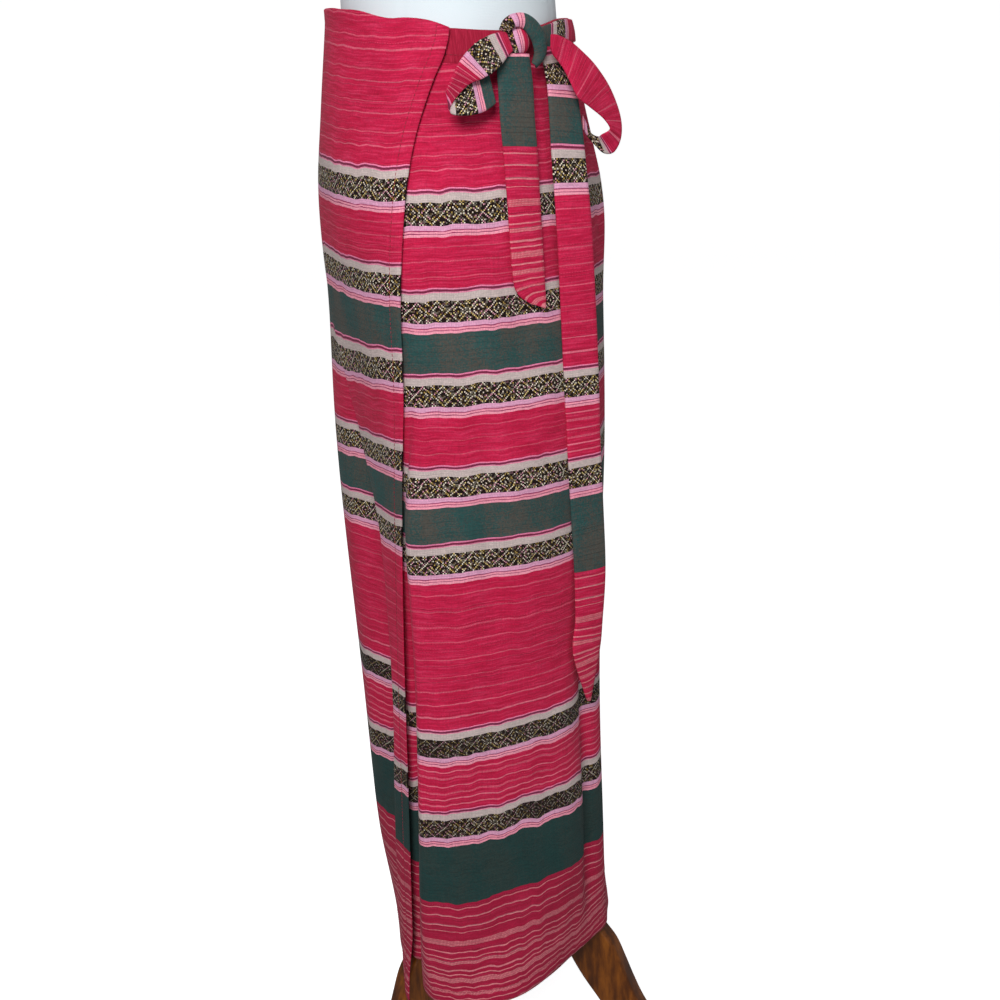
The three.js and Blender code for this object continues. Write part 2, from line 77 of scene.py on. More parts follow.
def cubic(xs: Sequence[float], ys: Union[Sequence[float], Array], x: Array) -> Array:
    """Interpolate a table with a smooth curve that keeps its end values.

    Args:
        xs: rising table positions.
        ys: table values, one per position, or one row of values per position.
        x: where the curve is read, as a flat array.

    Returns:
        The curve's value at every x.
    """
    keys = np.asarray(xs, float)
    at = np.clip(np.asarray(x, float), keys[0], keys[-1])
    rows = np.asarray(ys, float)
    if rows.ndim == 1:
        rows = np.repeat(rows[:, None], at.size, axis=1)
    slope = np.empty_like(rows)
    slope[0] = (rows[1] - rows[0]) / (keys[1] - keys[0])
    slope[-1] = (rows[-1] - rows[-2]) / (keys[-1] - keys[-2])
    slope[1:-1] = (rows[2:] - rows[:-2]) / (keys[2:] - keys[:-2])[:, None]
    i = np.clip(np.searchsorted(keys, at, side="left") - 1, 0, keys.size - 2)
    n = np.arange(at.size)
    span = keys[i + 1] - keys[i]
    u = (at - keys[i]) / span
    u2 = u * u
    u3 = u2 * u
    start = (2 * u3 - 3 * u2 + 1) * rows[i, n] + (u3 - 2 * u2 + u) * slope[i, n] * span
    end = (3 * u2 - 2 * u3) * rows[i + 1, n] + (u3 - u2) * slope[i + 1, n] * span
    return start + end


def srgb(red: int, green: int, blue: int) -> Colour:
    """Return a display colour of 0 to 255 as linear values."""
    parts = [c / 255.0 for c in (red, green, blue)]
    return tuple(c / 12.92 if c <= 0.04045 else ((c + 0.055) / 1.055) ** 2.4 for c in parts)


def travelled(points: Array) -> Array:
    """Return the distance along a line of points, from 0 at its first one."""
    steps = np.linalg.norm(np.diff(points, axis=0), axis=1)
    return np.concatenate([[0.0], np.cumsum(steps)])


def make_piece(
    name: str,
    vertices: Array,
    faces: Sequence[Sequence[int]],
    material: bpy.types.Material,
    uv: Optional[Array] = None,
) -> bpy.types.Object:
    """Make one smooth mesh piece that rides with the stand.

    Args:
        name: piece name.
        vertices: positions in metres, one row each.
        faces: vertex numbers of every face.
        material: its finish.
        uv: cloth chart position of every vertex in metres, or None.

    Returns:
        The new object.
    """
    mesh = bpy.data.meshes.new(name)
    mesh.from_pydata(np.asarray(vertices).tolist(), [], [tuple(f) for f in faces])
    mesh.polygons.foreach_set("use_smooth", np.ones(len(mesh.polygons), bool))
    if uv is not None:
        layer = mesh.uv_layers.new(name=CHART_UV)
        corner = np.empty(len(mesh.loops), np.int32)
        mesh.loops.foreach_get("vertex_index", corner)
        layer.data.foreach_set("uv", np.asarray(uv, np.float32)[corner].ravel())
    mesh.materials.append(material)
    mesh.validate()
    mesh.update()
    piece = bpy.data.objects.new(name, mesh)
    bpy.context.scene.collection.objects.link(piece)
    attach(piece, BODY)
    LOG.info("%s: %d vertices, %d faces", name, len(vertices), len(faces))
    return piece


# ---- shader work ---------------------------------------------------------------------


class Desk:
    """Lays out the shader nodes of one finish."""

    def __init__(self, name: str) -> None:
        """Start an empty material with its shader and output."""
        self.material = bpy.data.materials.new(name)
        self.material.use_nodes = True
        self.tree = self.material.node_tree
        self.tree.nodes.clear()
        self.shader = self.node("ShaderNodeBsdfPrincipled")
        out = self.node("ShaderNodeOutputMaterial")
        self.tree.links.new(self.shader.outputs[0], out.inputs["Surface"])

    def node(self, kind: str) -> bpy.types.Node:
        """Add one node."""
        return self.tree.nodes.new(kind)

    def put(self, socket: bpy.types.NodeSocket, value: object) -> None:
        """Link a socket to another, or set its own value."""
        if isinstance(value, bpy.types.NodeSocket):
            self.tree.links.new(value, socket)
        elif isinstance(value, tuple) and socket.type == "RGBA":
            socket.default_value = (*value, 1.0)
        else:
            socket.default_value = value

    def calc(self, operation: str, *values: Number) -> bpy.types.NodeSocket:
        """Add a math node and return its result."""
        node = self.node("ShaderNodeMath")
        node.operation = operation
        for socket, value in zip(node.inputs, values):
            self.put(socket, value)
        return node.outputs[0]

    def within(self, x: Number, low: float, high: float) -> bpy.types.NodeSocket:
        """Return 1 where x lies between low and high, and 0 elsewhere."""
        return self.calc("MULTIPLY", self.calc("GREATER_THAN", x, low), self.calc("LESS_THAN", x, high))

    def blend(self, share: Number, under: object, over: object, way: str = "MIX") -> bpy.types.NodeSocket:
        """Mix two colours.

        Args:
            share: how much of the second colour shows.
            under: first colour or socket.
            over: second colour or socket.
            way: blend type.

        Returns:
            The mixed colour's socket.
        """
        node = self.node("ShaderNodeMix")
        node.data_type = "RGBA"
        node.blend_type = way
        self.put(node.inputs[0], share)
        self.put(node.inputs[6], under)
        self.put(node.inputs[7], over)
        return node.outputs[2]

    def ramp(
        self, at: Number, stops: Sequence[tuple[float, Colour]], soft: bool = False
    ) -> bpy.types.NodeSocket:
        """Look a colour up in a ramp.

        Args:
            at: position in the ramp, 0 to 1.
            stops: position and colour of each stop, rising.
            soft: whether colours run into each other.

        Returns:
            The colour's socket.
        """
        node = self.node("ShaderNodeValToRGB")
        ramp = node.color_ramp
        ramp.interpolation = "LINEAR" if soft else "CONSTANT"
        for k, (place, colour) in enumerate(stops):
            stop = ramp.elements[k] if k < 2 else ramp.elements.new(place)
            stop.position = place
            stop.color = (*colour, 1.0)
        self.put(node.inputs[0], at)
        return node.outputs[0]

    def combine(self, x: Number, y: Number, z: Number = 0.0) -> bpy.types.NodeSocket:
        """Return a vector made of three numbers."""
        node = self.node("ShaderNodeCombineXYZ")
        for socket, value in zip(node.inputs, (x, y, z)):
            self.put(socket, value)
        return node.outputs[0]

    def noise(
        self, place: bpy.types.NodeSocket, scale: float, detail: float = 2.0, rough: float = 0.5
    ) -> bpy.types.NodeSocket:
        """Return smooth noise of 0 to 1 at a place."""
        node = self.node("ShaderNodeTexNoise")
        self.put(node.inputs["Vector"], place)
        node.inputs["Scale"].default_value = scale
        node.inputs["Detail"].default_value = detail
        node.inputs["Roughness"].default_value = rough
        return node.outputs[0]

    def plus(self, base: Number, value: Number, share: float) -> bpy.types.NodeSocket:
        """Return base with a share of value added."""
        return self.calc("ADD", base, self.calc("MULTIPLY", value, share))

    def cloth_noise(
        self,
        across: Number,
        along: Number,
        scales: tuple[float, float],
        detail: float = 2.0,
        rough: float = 0.5,
    ) -> bpy.types.NodeSocket:
        """Return smooth noise on the cloth's chart.

        Args:
            across: place across the cloth, in millimetres.
            along: place along the cloth, in millimetres.
            scales: how fast the noise changes across and along.
            detail: how many finer layers it has.
            rough: how strong the finer layers are.

        Returns:
            The noise's socket, 0 to 1.
        """
        x = self.calc("MULTIPLY", across, scales[0])
        y = self.calc("MULTIPLY", along, scales[1])
        return self.noise(self.combine(x, y), 1.0, detail, rough)

    def cell_speck(
        self, across: Number, along: Number, size: tuple[float, float], seed: float
    ) -> bpy.types.NodeSocket:
        """Return a random number of 0 to 1 for each small cell of the cloth.

        Args:
            across: place across the cloth, in millimetres.
            along: place along the cloth, in millimetres.
            size: width and height of a cell, in millimetres.
            seed: picks the set of numbers.

        Returns:
            The number's socket.
        """
        column = self.calc("FLOOR", self.calc("DIVIDE", across, size[0]))
        row = self.calc("FLOOR", self.calc("DIVIDE", along, size[1]))
        return self.speck(self.combine(column, row, seed))

    def shaded(self, colour: object, shade: Number) -> bpy.types.NodeSocket:
        """Return a colour made lighter or darker by a factor."""
        return self.blend(1.0, colour, self.combine(shade, shade, shade), "MULTIPLY")

    def speck(self, place: bpy.types.NodeSocket) -> bpy.types.NodeSocket:
        """Return a random number of 0 to 1 for a snapped place."""
        node = self.node("ShaderNodeTexWhiteNoise")
        node.noise_dimensions = "3D"
        self.put(node.inputs["Vector"], place)
        return node.outputs["Value"]

    def chart(self) -> tuple[bpy.types.NodeSocket, bpy.types.NodeSocket]:
        """Return the place across and along the cloth, in millimetres."""
        uv = self.node("ShaderNodeUVMap")
        uv.uv_map = CHART_UV
        split = self.node("ShaderNodeSeparateXYZ")
        self.put(split.inputs[0], uv.outputs[0])
        return (
            self.calc("MULTIPLY", split.outputs[0], 1000.0),
            self.calc("MULTIPLY", split.outputs[1], 1000.0),
        )

    def place(self) -> bpy.types.NodeSocket:
        """Return the place on the object itself, in metres."""
        return self.node("ShaderNodeTexCoord").outputs["Object"]

    def relief(self, height: bpy.types.NodeSocket, depth: float, strength: float = 1.0) -> None:
        """Raise the surface by height, where 1 is depth metres."""
        node = self.node("ShaderNodeBump")
        node.inputs["Strength"].default_value = strength
        node.inputs["Distance"].default_value = depth
        self.put(node.inputs["Height"], height)
        self.put(self.shader.inputs["Normal"], node.outputs[0])

    def set(self, **values: object) -> None:
        """Set shader sockets by name, with underscores for spaces."""
        for name, value in values.items():
            self.put(self.shader.inputs[name.replace("_", " ")], value)


class Ground(Enum):
    """Plain grounds of the banded cloth."""

    RED = srgb(196, 27, 70)
    GREEN = srgb(60, 77, 75)
    # painted shade: the panels' lower green, darker than the same band on the tie
    SHADED_LOW_GREEN = srgb(26, 56, 54)
    # painted shade: the darker red of the panels' border at the bottom of the skirt
    SHADED_BORDER_RED = srgb(150, 22, 54)


@dataclass(frozen=True)
class Line:
    """A woven line: its place along the cloth, its width, how pale it is, and whether it is dotted."""

    at: float
    wide: float
    pale: float
    dotted: bool = False


@dataclass(frozen=True)
class BandedCloth:
    """Hand-woven banded cloth: red and green grounds, lined brocade bands, striped border."""

    name: str = "banded_cloth"
    greens: tuple[tuple[float, float], ...] = ((272.0, 308.0), (433.5, 467.3), (788.5, 853.0))
    band_starts: tuple[float, ...] = (146.7, 231.5, 308.0, 393.0, 467.3, 658.0, 748.0)
    band_height: float = 40.5
    brocade_from: float = 11.0
    brocade_to: float = 30.6
    float_size: float = 1.3
    motif_floats: int = 14
    row_pitch: float = 4.6
    thread: float = 0.95
    border_from: float = 853.0
    panels_to: float = 1500.0
    # painted shade of the panels' green starts at this place along the chart
    shaded_green_from: float = 780.0
    # below this place along the chart the panels' lines grow wavier and their floats are dimmed as painted
    # shade
    waves_and_shade_from: float = 640.0
    wave_growth_to: float = 120.0

    def band_lines(self) -> list[tuple[float, Colour]]:
        """Return the lines of one brocade band from its upper edge, as ramp stops."""
        pink = srgb(240, 134, 172)
        plum = srgb(126, 44, 72)
        mauve = srgb(236, 142, 172)
        grey = srgb(204, 186, 182)
        dark = srgb(28, 15, 13)
        lilac = srgb(228, 164, 196)
        wine = srgb(160, 46, 92)
        pale = srgb(248, 160, 180)
        lines = (
            (0.0, pink), (1.2, plum), (3.3, mauve), (4.3, grey), (self.brocade_from, dark),
            (self.brocade_to, lilac), (34.9, wine), (35.7, pale), (37.4, wine), (38.1, pale),
        )
        return [(at / self.band_height, colour) for at, colour in lines]

    def fine_lines(self) -> dict[tuple[float, float], tuple[Line, ...]]:
        """Return the pale lines of the red grounds, by the stretch of cloth they lie in."""
        upper = (
            Line(20, 1.1, 0.3), Line(38, 1.0, 0.26), Line(49, 1.3, 0.36), Line(66, 1.0, 0.24),
            Line(76, 1.2, 0.34), Line(93, 1.0, 0.28), Line(103, 1.3, 0.34), Line(119, 1.0, 0.26),
            Line(131, 1.2, 0.34),
        )
        second = (Line(196, 1.0, 0.2), Line(208, 1.4, 0.3, True), Line(222, 1.0, 0.22))
        third = (Line(357, 1.0, 0.22), Line(369, 1.2, 0.3, True), Line(382, 1.0, 0.24))
        middle = (
            Line(519, 1.2, 0.28),
            Line(536, 1.0, 0.22), Line(552, 1.3, 0.32, True), Line(567, 1.0, 0.26), Line(585, 1.2, 0.3),
            Line(603, 1.0, 0.3), Line(618, 1.6, 0.4, True), Line(632, 1.2, 0.42), Line(645, 1.4, 0.5),
        )
        lower = (
            Line(704, 1.4, 0.55), Line(711, 2.4, 0.5, True), Line(720, 1.2, 0.6), Line(728, 1.8, 0.5, True),
            Line(735, 1.2, 0.62), Line(742, 1.6, 0.5),
        )
        border = (
            Line(858.5, 1.2, 0.6), Line(868.5, 1.4, 0.72), Line(880, 1.6, 0.72), Line(887, 1.2, 0.55),
            Line(900.5, 6.0, 0.7, True), Line(911, 1.4, 0.7), Line(918, 1.4, 0.62),
            Line(923.5, 3.6, 0.75, True), Line(933, 1.4, 0.66), Line(938.5, 1.2, 0.7),
            Line(945, 5.4, 0.75, True), Line(953, 1.2, 0.66),
            Line(960, 4.0, 0.75, True),
        )
        turn_up = (
            Line(967, 1.4, 0.66), Line(973.5, 2.4, 0.7, True), Line(981, 1.4, 0.66),
            Line(989, 4.6, 0.75, True), Line(996, 1.2, 0.66), Line(1003, 1.4, 0.6),
            Line(1012, 5.0, 0.75, True), Line(1020, 1.3, 0.66), Line(1028, 1.5, 0.62),
        )
        return {
            (0.0, 146.0): upper,
            (187.0, 231.0): second,
            (348.0, 393.0): third,
            (508.0, 658.0): middle,
            (699.0, 748.0): lower,
            (853.0, 964.0): border,
            (964.0, 1060.0): turn_up,
        }

    def lines_at(self, desk: Desk, along: Number, ticks: Number) -> bpy.types.NodeSocket:
        """Return how pale the charted lines are along the cloth.

        Args:
            desk: where the nodes go.
            along: place along the cloth, in millimetres.
            ticks: 1 on the ticks of a dotted line and less between them.

        Returns:
            Paleness, from 0 to 1.
        """
        total = None
        for (low, high), lines in self.fine_lines().items():
            stops = [(0.0, (0.0, 0.0, 0.0))]
            for line in lines:
                start = (line.at - line.wide / 2 - low) / (high - low)
                end = (line.at + line.wide / 2 - low) / (high - low)
                plain = 0.0 if line.dotted else line.pale
                dotted = line.pale if line.dotted else 0.0
                stops.append((start, (plain, dotted, 0.0)))
                stops.append((end, (0.0, 0.0, 0.0)))
            at = desk.calc("DIVIDE", desk.calc("SUBTRACT", along, low), high - low)
            parts = desk.node("ShaderNodeSeparateColor")
            desk.put(parts.inputs[0], desk.ramp(at, stops))
            spotted = desk.calc("MULTIPLY", parts.outputs[1], ticks)
            here = desk.calc("ADD", parts.outputs[0], spotted)
            here = desk.calc("MULTIPLY", here, desk.within(at, 0.0, 1.0))
            total = here if total is None else desk.calc("ADD", total, here)
        return total

    def rows_between(
        self, desk: Desk, across: Number, along: Number
    ) -> tuple[bpy.types.NodeSocket, bpy.types.NodeSocket]:
        """Return the fainter, partly broken rows that lie between the charted lines.

        Args:
            desk: where the nodes go.
            across: place across the cloth, in millimetres.
            along: place along the cloth, in millimetres.

        Returns:
            How pale the rows are, and how deep the sunk pick below each of them is, which make() also darkens
            as painted shade.
        """
        count = desk.calc("DIVIDE", along, self.row_pitch)
        row = desk.calc("FLOOR", count)
        shift = desk.calc("MULTIPLY", desk.speck(desk.combine(row, 3.0, 1.0)), 0.7)
        off = desk.calc("SUBTRACT", desk.calc("FRACT", count), shift)
        strength = desk.calc("POWER", desk.speck(desk.combine(row, 9.0, 4.0)), 1.4)
        dash = desk.calc("GREATER_THAN", desk.calc("FRACT", desk.calc("DIVIDE", across, 2.6)), 0.45)
        broken = desk.calc("GREATER_THAN", desk.speck(desk.combine(row, 5.0, 8.0)), 0.5)
        dashed = desk.calc("MAXIMUM", desk.calc("MULTIPLY", broken, dash), desk.calc("SUBTRACT", 1.0, broken))
        pale = desk.calc("MULTIPLY", desk.calc("MULTIPLY", desk.within(off, 0.02, 0.13), strength), dashed)
        sunk = desk.calc("MULTIPLY", desk.within(off, 0.13, 0.25), strength)
        return pale, sunk

    def floats(
        self, desk: Desk, across: Number, down: Number
    ) -> tuple[bpy.types.NodeSocket, bpy.types.NodeSocket]:
        """Chart the brocade: a lattice of crosses with a dotted rosette in every cell.

        Args:
            desk: where the nodes go.
            across: place across the cloth, in millimetres.
            down: place below the band's upper edge, in millimetres.

        Returns:
            Where a float shows, and a random number for each float.
        """
        size = self.float_size
        middle = (self.brocade_from + self.brocade_to) / 2
        columns = desk.calc("DIVIDE", across, size)
        rows = desk.calc("ADD", desk.calc("DIVIDE", desk.calc("SUBTRACT", down, middle), size), 0.5)
        column, row = desk.calc("FLOOR", columns), desk.calc("FLOOR", rows)
        half = self.motif_floats / 2
        side = desk.calc("PINGPONG", column, half)
        rise = desk.calc("ABSOLUTE", row)
        centre = desk.calc("SUBTRACT", half, side)
        pairs = desk.calc("MULTIPLY", desk.calc("ADD", centre, rise), 0.5)
        even = desk.calc("LESS_THAN", desk.calc("FRACT", desk.calc("ADD", pairs, 0.25)), 0.5)
        cross = desk.calc("LESS_THAN", desk.calc("ABSOLUTE", desk.calc("SUBTRACT", side, rise)), 0.5)
        radius = desk.calc(
            "SQRT",
            desk.calc("ADD", desk.calc("MULTIPLY", centre, centre), desk.calc("MULTIPLY", rise, rise)),
        )
        petals = desk.calc("MULTIPLY", even, desk.within(radius, 2.4, 3.4))
        heart = desk.calc("LESS_THAN", radius, 0.5)
        near_cross = desk.calc("LESS_THAN", side, 1.5)
        low_edge = desk.calc("MULTIPLY", near_cross, desk.calc("GREATER_THAN", rise, 4.5))
        wedge = desk.calc("SUBTRACT", low_edge, desk.calc("MULTIPLY", low_edge, even))
        drawn = desk.calc("MAXIMUM", desk.calc("MAXIMUM", cross, heart), desk.calc("MAXIMUM", petals, wedge))
        chance = desk.speck(desk.combine(column, row, 0.0))
        shown = desk.calc("MULTIPLY", drawn, desk.calc("GREATER_THAN", chance, 0.08))
        stray = desk.calc("MULTIPLY", desk.calc("LESS_THAN", chance, 0.3), 0.2)
        in_x = desk.within(desk.calc("FRACT", columns), 0.04, 0.92)
        in_y = desk.within(desk.calc("FRACT", rows), 0.02, 0.96)
        spot = desk.calc("MULTIPLY", in_x, in_y)
        lit = desk.calc("MULTIPLY", desk.calc("MAXIMUM", shown, stray), spot)
        return lit, desk.speck(desk.combine(column, row, 7.0))

    def is_green(self, desk: Desk, along: Number) -> bpy.types.NodeSocket:
        """Return 1 on the green grounds and 0 on the red ones.

        Args:
            desk: where the nodes go.
            along: place along the cloth, in millimetres.

        Returns:
            The number's socket.
        """
        total = None
        for low, high in self.greens:
            here = desk.within(along, low, high)
            total = here if total is None else desk.calc("ADD", total, here)
        return total

    def into_band(self, desk: Desk, along: Number) -> bpy.types.NodeSocket:
        """Return how far a place lies below the nearest brocade band's upper edge.

        Args:
            desk: where the nodes go.
            along: place along the cloth, in millimetres.

        Returns:
            The distance's socket, in millimetres.
        """
        down = desk.calc("ADD", along, 0.0)
        before = 0.0
        for start in self.band_starts:
            past = desk.calc("GREATER_THAN", along, start)
            down = desk.calc("SUBTRACT", down, desk.calc("MULTIPLY", past, start - before))
            before = start
        return down

    def ground_colour(self, desk: Desk, across: Number, along: Number) -> bpy.types.NodeSocket:
        """Return the plain grounds, with the shot threads of the green ones and painted shade on the panels'
        lower green and border.

        Args:
            desk: where the nodes go.
            across: place across the cloth, in millimetres.
            along: place along the cloth, in millimetres.

        Returns:
            The colour's socket.
        """
        patch = desk.cloth_noise(across, along, (0.03, 0.014))
        knots = desk.calc("MULTIPLY", desk.cell_speck(across, along, (1.4, 1.1), 2.0), 0.22)
        mixed = desk.calc("ADD", desk.calc("MULTIPLY", patch, 0.78), knots)
        shot = desk.ramp(
            mixed,
            [(0.36, srgb(44, 80, 78)), (0.48, Ground.GREEN.value), (0.6, srgb(80, 77, 71))],
            soft=True,
        )
        on_panel = desk.calc("LESS_THAN", across, self.panels_to)
        # painted shade: the panels' green below this place is pulled towards a darker green, the tie's is not
        deep = desk.calc("MULTIPLY", desk.calc("GREATER_THAN", along, self.shaded_green_from), on_panel)
        shot = desk.blend(desk.calc("MULTIPLY", deep, 0.75), shot, Ground.SHADED_LOW_GREEN.value)
        streak = desk.cloth_noise(across, along, (0.035, 0.5), 3.0, 0.6)
        crimson = desk.ramp(
            streak,
            [(0.3, srgb(180, 18, 58)), (0.5, Ground.RED.value), (0.7, srgb(212, 52, 92))],
            soft=True,
        )
        # painted shade: the panels' border is pulled towards a darker red, the tie's is not
        in_border = desk.calc("MULTIPLY", desk.calc("GREATER_THAN", along, self.border_from), 0.6)
        in_border = desk.calc("MULTIPLY", in_border, on_panel)
        crimson = desk.blend(in_border, crimson, Ground.SHADED_BORDER_RED.value)
        return desk.blend(self.is_green(desk, along), crimson, shot)

    def make(self) -> bpy.types.Material:
        """Build the material."""
        desk = Desk(self.name)
        across, chart_along = desk.chart()
        drift = desk.noise(desk.combine(desk.calc("MULTIPLY", across, 0.016), chart_along, 0.0), 1.0, 1.5)
        low = desk.calc("MAXIMUM", desk.calc("SUBTRACT", chart_along, self.waves_and_shade_from), 0.0)
        low = desk.calc("MINIMUM", low, self.wave_growth_to)
        reach = desk.plus(5.0, low, 0.05)
        on_panel = desk.calc("LESS_THAN", across, self.panels_to)
        reach = desk.calc("MULTIPLY", reach, desk.plus(0.2, on_panel, 0.8))
        wave = desk.cloth_noise(across, chart_along, (0.05, 0.01), 1.0)
        v = desk.plus(chart_along, desk.calc("SUBTRACT", drift, 0.5), 0.9)
        v = desk.calc("ADD", v, desk.calc("MULTIPLY", desk.calc("SUBTRACT", wave, 0.5), reach))
        ground = self.ground_colour(desk, across, v)

        tick_x = desk.calc("GREATER_THAN", desk.calc("FRACT", desk.calc("DIVIDE", across, 1.5)), 0.4)
        tick_y = desk.calc("GREATER_THAN", desk.calc("FRACT", desk.calc("DIVIDE", v, 1.9)), 0.25)
        ticks = desk.plus(0.25, desk.calc("MULTIPLY", tick_x, tick_y), 0.75)
        broken = desk.cloth_noise(across, v, (0.22, 0.9))
        in_border = desk.calc("GREATER_THAN", v, self.border_from)
        is_red = desk.calc("SUBTRACT", 1.0, self.is_green(desk, v))
        pale = desk.calc("MULTIPLY", self.lines_at(desk, v, ticks), desk.calc("ADD", 0.5, broken))
        row, sunk = self.rows_between(desk, across, v)
        faint = desk.calc("MULTIPLY", desk.calc("MULTIPLY", row, is_red), 0.3)
        ground = desk.blend(faint, ground, srgb(236, 100, 130))
        line_tint = desk.blend(in_border, srgb(240, 140, 160), srgb(232, 150, 156))
        ground = desk.blend(pale, ground, line_tint)
        # painted shade: each sunk pick is darkened, more in the border, where it also gives the border its
        # dark lines
        pick_shade_and_border_lines = desk.calc("MULTIPLY", sunk, desk.plus(0.26, in_border, 0.3))
        ground = desk.blend(pick_shade_and_border_lines, ground, (0.0, 0.0, 0.0))

        down = self.into_band(desk, v)
        in_band = desk.within(down, 0.0, self.band_height)
        in_band = desk.calc("MULTIPLY", in_band, desk.calc("GREATER_THAN", v, self.band_starts[0]))
        lines = desk.ramp(desk.calc("DIVIDE", down, self.band_height), self.band_lines())
        lines = desk.shaded(lines, desk.plus(0.8, ticks, 0.24))
        ground = desk.blend(in_band, ground, lines)

        shown, tone = self.floats(desk, across, down)
        float_here = desk.calc("MULTIPLY", desk.within(down, self.brocade_from, self.brocade_to), shown)
        float_here = desk.calc("MULTIPLY", float_here, in_band)
        # painted shade: the floats on the lower panels are dimmed, on top of a random tone of the floats
        low_panel_shade = desk.calc("MULTIPLY", desk.calc("GREATER_THAN", v, self.waves_and_shade_from), on_panel)
        gleam = desk.cloth_noise(across, v, (0.014, 0.011), 1.0)
        float_tone_and_shade = desk.calc("SUBTRACT", desk.calc("ADD", 0.42, gleam), desk.calc("MULTIPLY", low_panel_shade, 0.45))
        float_here = desk.calc("MULTIPLY", float_here, desk.calc("MINIMUM", float_tone_and_shade, 1.0))
        glint = desk.ramp(
            tone,
            [
                (0.0, srgb(184, 150, 74)),
                (0.2, srgb(250, 240, 216)),
                (0.46, srgb(232, 208, 138)),
                (0.62, srgb(250, 232, 214)),
                (0.84, srgb(226, 160, 176)),
            ],
        )
        cloth = desk.blend(float_here, ground, glint)

        weft = desk.cloth_noise(across, v, (0.05, 1.1), 2.0, 0.7)
        warps = desk.cloth_noise(across, v, (1.2, 0.03), 1.0)
        cloud = desk.cloth_noise(across, v, (0.02, 0.02), 3.0)
        shade = desk.plus(desk.calc("MULTIPLY", weft, 0.62), cloud, 0.3)
        shade = desk.calc("ADD", desk.plus(shade, warps, 0.26), 0.32)
        shade = desk.plus(shade, desk.cell_speck(across, v, (1.3, 1.1), 5.0), 0.2)
        cloth = desk.shaded(cloth, shade)

        turn = 2 * math.pi / self.thread
        warp = desk.calc("SINE", desk.calc("MULTIPLY", across, turn))
        pick = desk.calc("SINE", desk.calc("MULTIPLY", v, turn))
        rib = desk.plus(desk.calc("MULTIPLY", pick, 0.3), desk.calc("MULTIPLY", warp, pick), 0.2)
        pucker = desk.cloth_noise(across, v, (0.012, 0.13))
        height = desk.plus(rib, weft, 0.9)
        height = desk.plus(height, pucker, 4.0)
        height = desk.plus(height, float_here, 0.8)
        height = desk.plus(height, desk.calc("SUBTRACT", row, sunk), 0.7)
        desk.relief(height, 0.00035, 0.6)
        rough = desk.calc("SUBTRACT", desk.plus(0.78, weft, 0.14), desk.calc("MULTIPLY", float_here, 0.22))
        desk.set(Base_Color=cloth, Roughness=rough, **COTTON_GLOSS)
        return desk.material


@dataclass(frozen=True)
class PlainCloth:
    """Plain red cloth of the waistband, with its threads upright."""

    name: str = "band_cloth"
    tint: Colour = srgb(168, 28, 58)
    thread: float = 1.15

    def make(self) -> bpy.types.Material:
        """Build the material."""
        desk = Desk(self.name)
        across, along = desk.chart()
        upright = desk.cloth_noise(across, along, (0.8, 0.06), 2.0, 0.7)
        colour = desk.ramp(
            upright,
            [(0.3, srgb(146, 18, 46)), (0.52, self.tint), (0.7, srgb(188, 44, 74))],
            soft=True,
        )
        turn = 2 * math.pi / self.thread
        cord = desk.calc("SINE", desk.calc("MULTIPLY", across, turn))
        pick = desk.calc("SINE", desk.calc("MULTIPLY", along, turn))
        height = desk.plus(desk.calc("MULTIPLY", cord, 0.4), pick, 0.15)
        desk.relief(desk.calc("ADD", height, upright), 0.0004, 0.6)
        rough = desk.plus(0.76, upright, 0.16)
        desk.set(Base_Color=colour, Roughness=rough, **COTTON_GLOSS)
        return desk.material


@dataclass(frozen=True)
class SewingThread:
    """Spun sewing thread."""

    name: str
    tint: Colour

    def make(self) -> bpy.types.Material:
        """Build the material."""
        desk = Desk(self.name)
        fleck = desk.noise(desk.place(), 900.0, 2.0)
        colour = desk.blend(fleck, self.tint, tuple(c * 0.55 for c in self.tint))
        desk.relief(fleck, 0.0001, 0.5)
        desk.set(Base_Color=colour, Roughness=desk.calc("ADD", 0.5, desk.calc("MULTIPLY", fleck, 0.2)))
        return desk.material


@dataclass(frozen=True)
class Jersey:
    """Fine knitted cover of the dress form."""

    name: str = "jersey"
    tint: Colour = srgb(236, 246, 250)

    def make(self) -> bpy.types.Material:
        """Build the material."""
        desk = Desk(self.name)
        place = desk.place()
        split = desk.node("ShaderNodeSeparateXYZ")
        desk.put(split.inputs[0], place)
        level = desk.calc("ADD", split.outputs[0], split.outputs[1])
        wale = desk.calc("SINE", desk.calc("MULTIPLY", level, 4200.0))
        course = desk.calc("SINE", desk.calc("MULTIPLY", split.outputs[2], 5200.0))
        knit = desk.calc("MULTIPLY", wale, course)
        cloud = desk.noise(place, 9.0, 3.0)
        colour = desk.blend(cloud, self.tint, srgb(224, 238, 244))
        desk.relief(desk.calc("ADD", desk.calc("MULTIPLY", knit, 0.4), desk.noise(place, 700.0)), 0.0003, 0.4)
        desk.set(
            Base_Color=colour,
            Roughness=desk.calc("ADD", 0.78, desk.calc("MULTIPLY", cloud, 0.12)),
            Sheen_Weight=0.1,
            Sheen_Roughness=0.6,
        )
        return desk.material


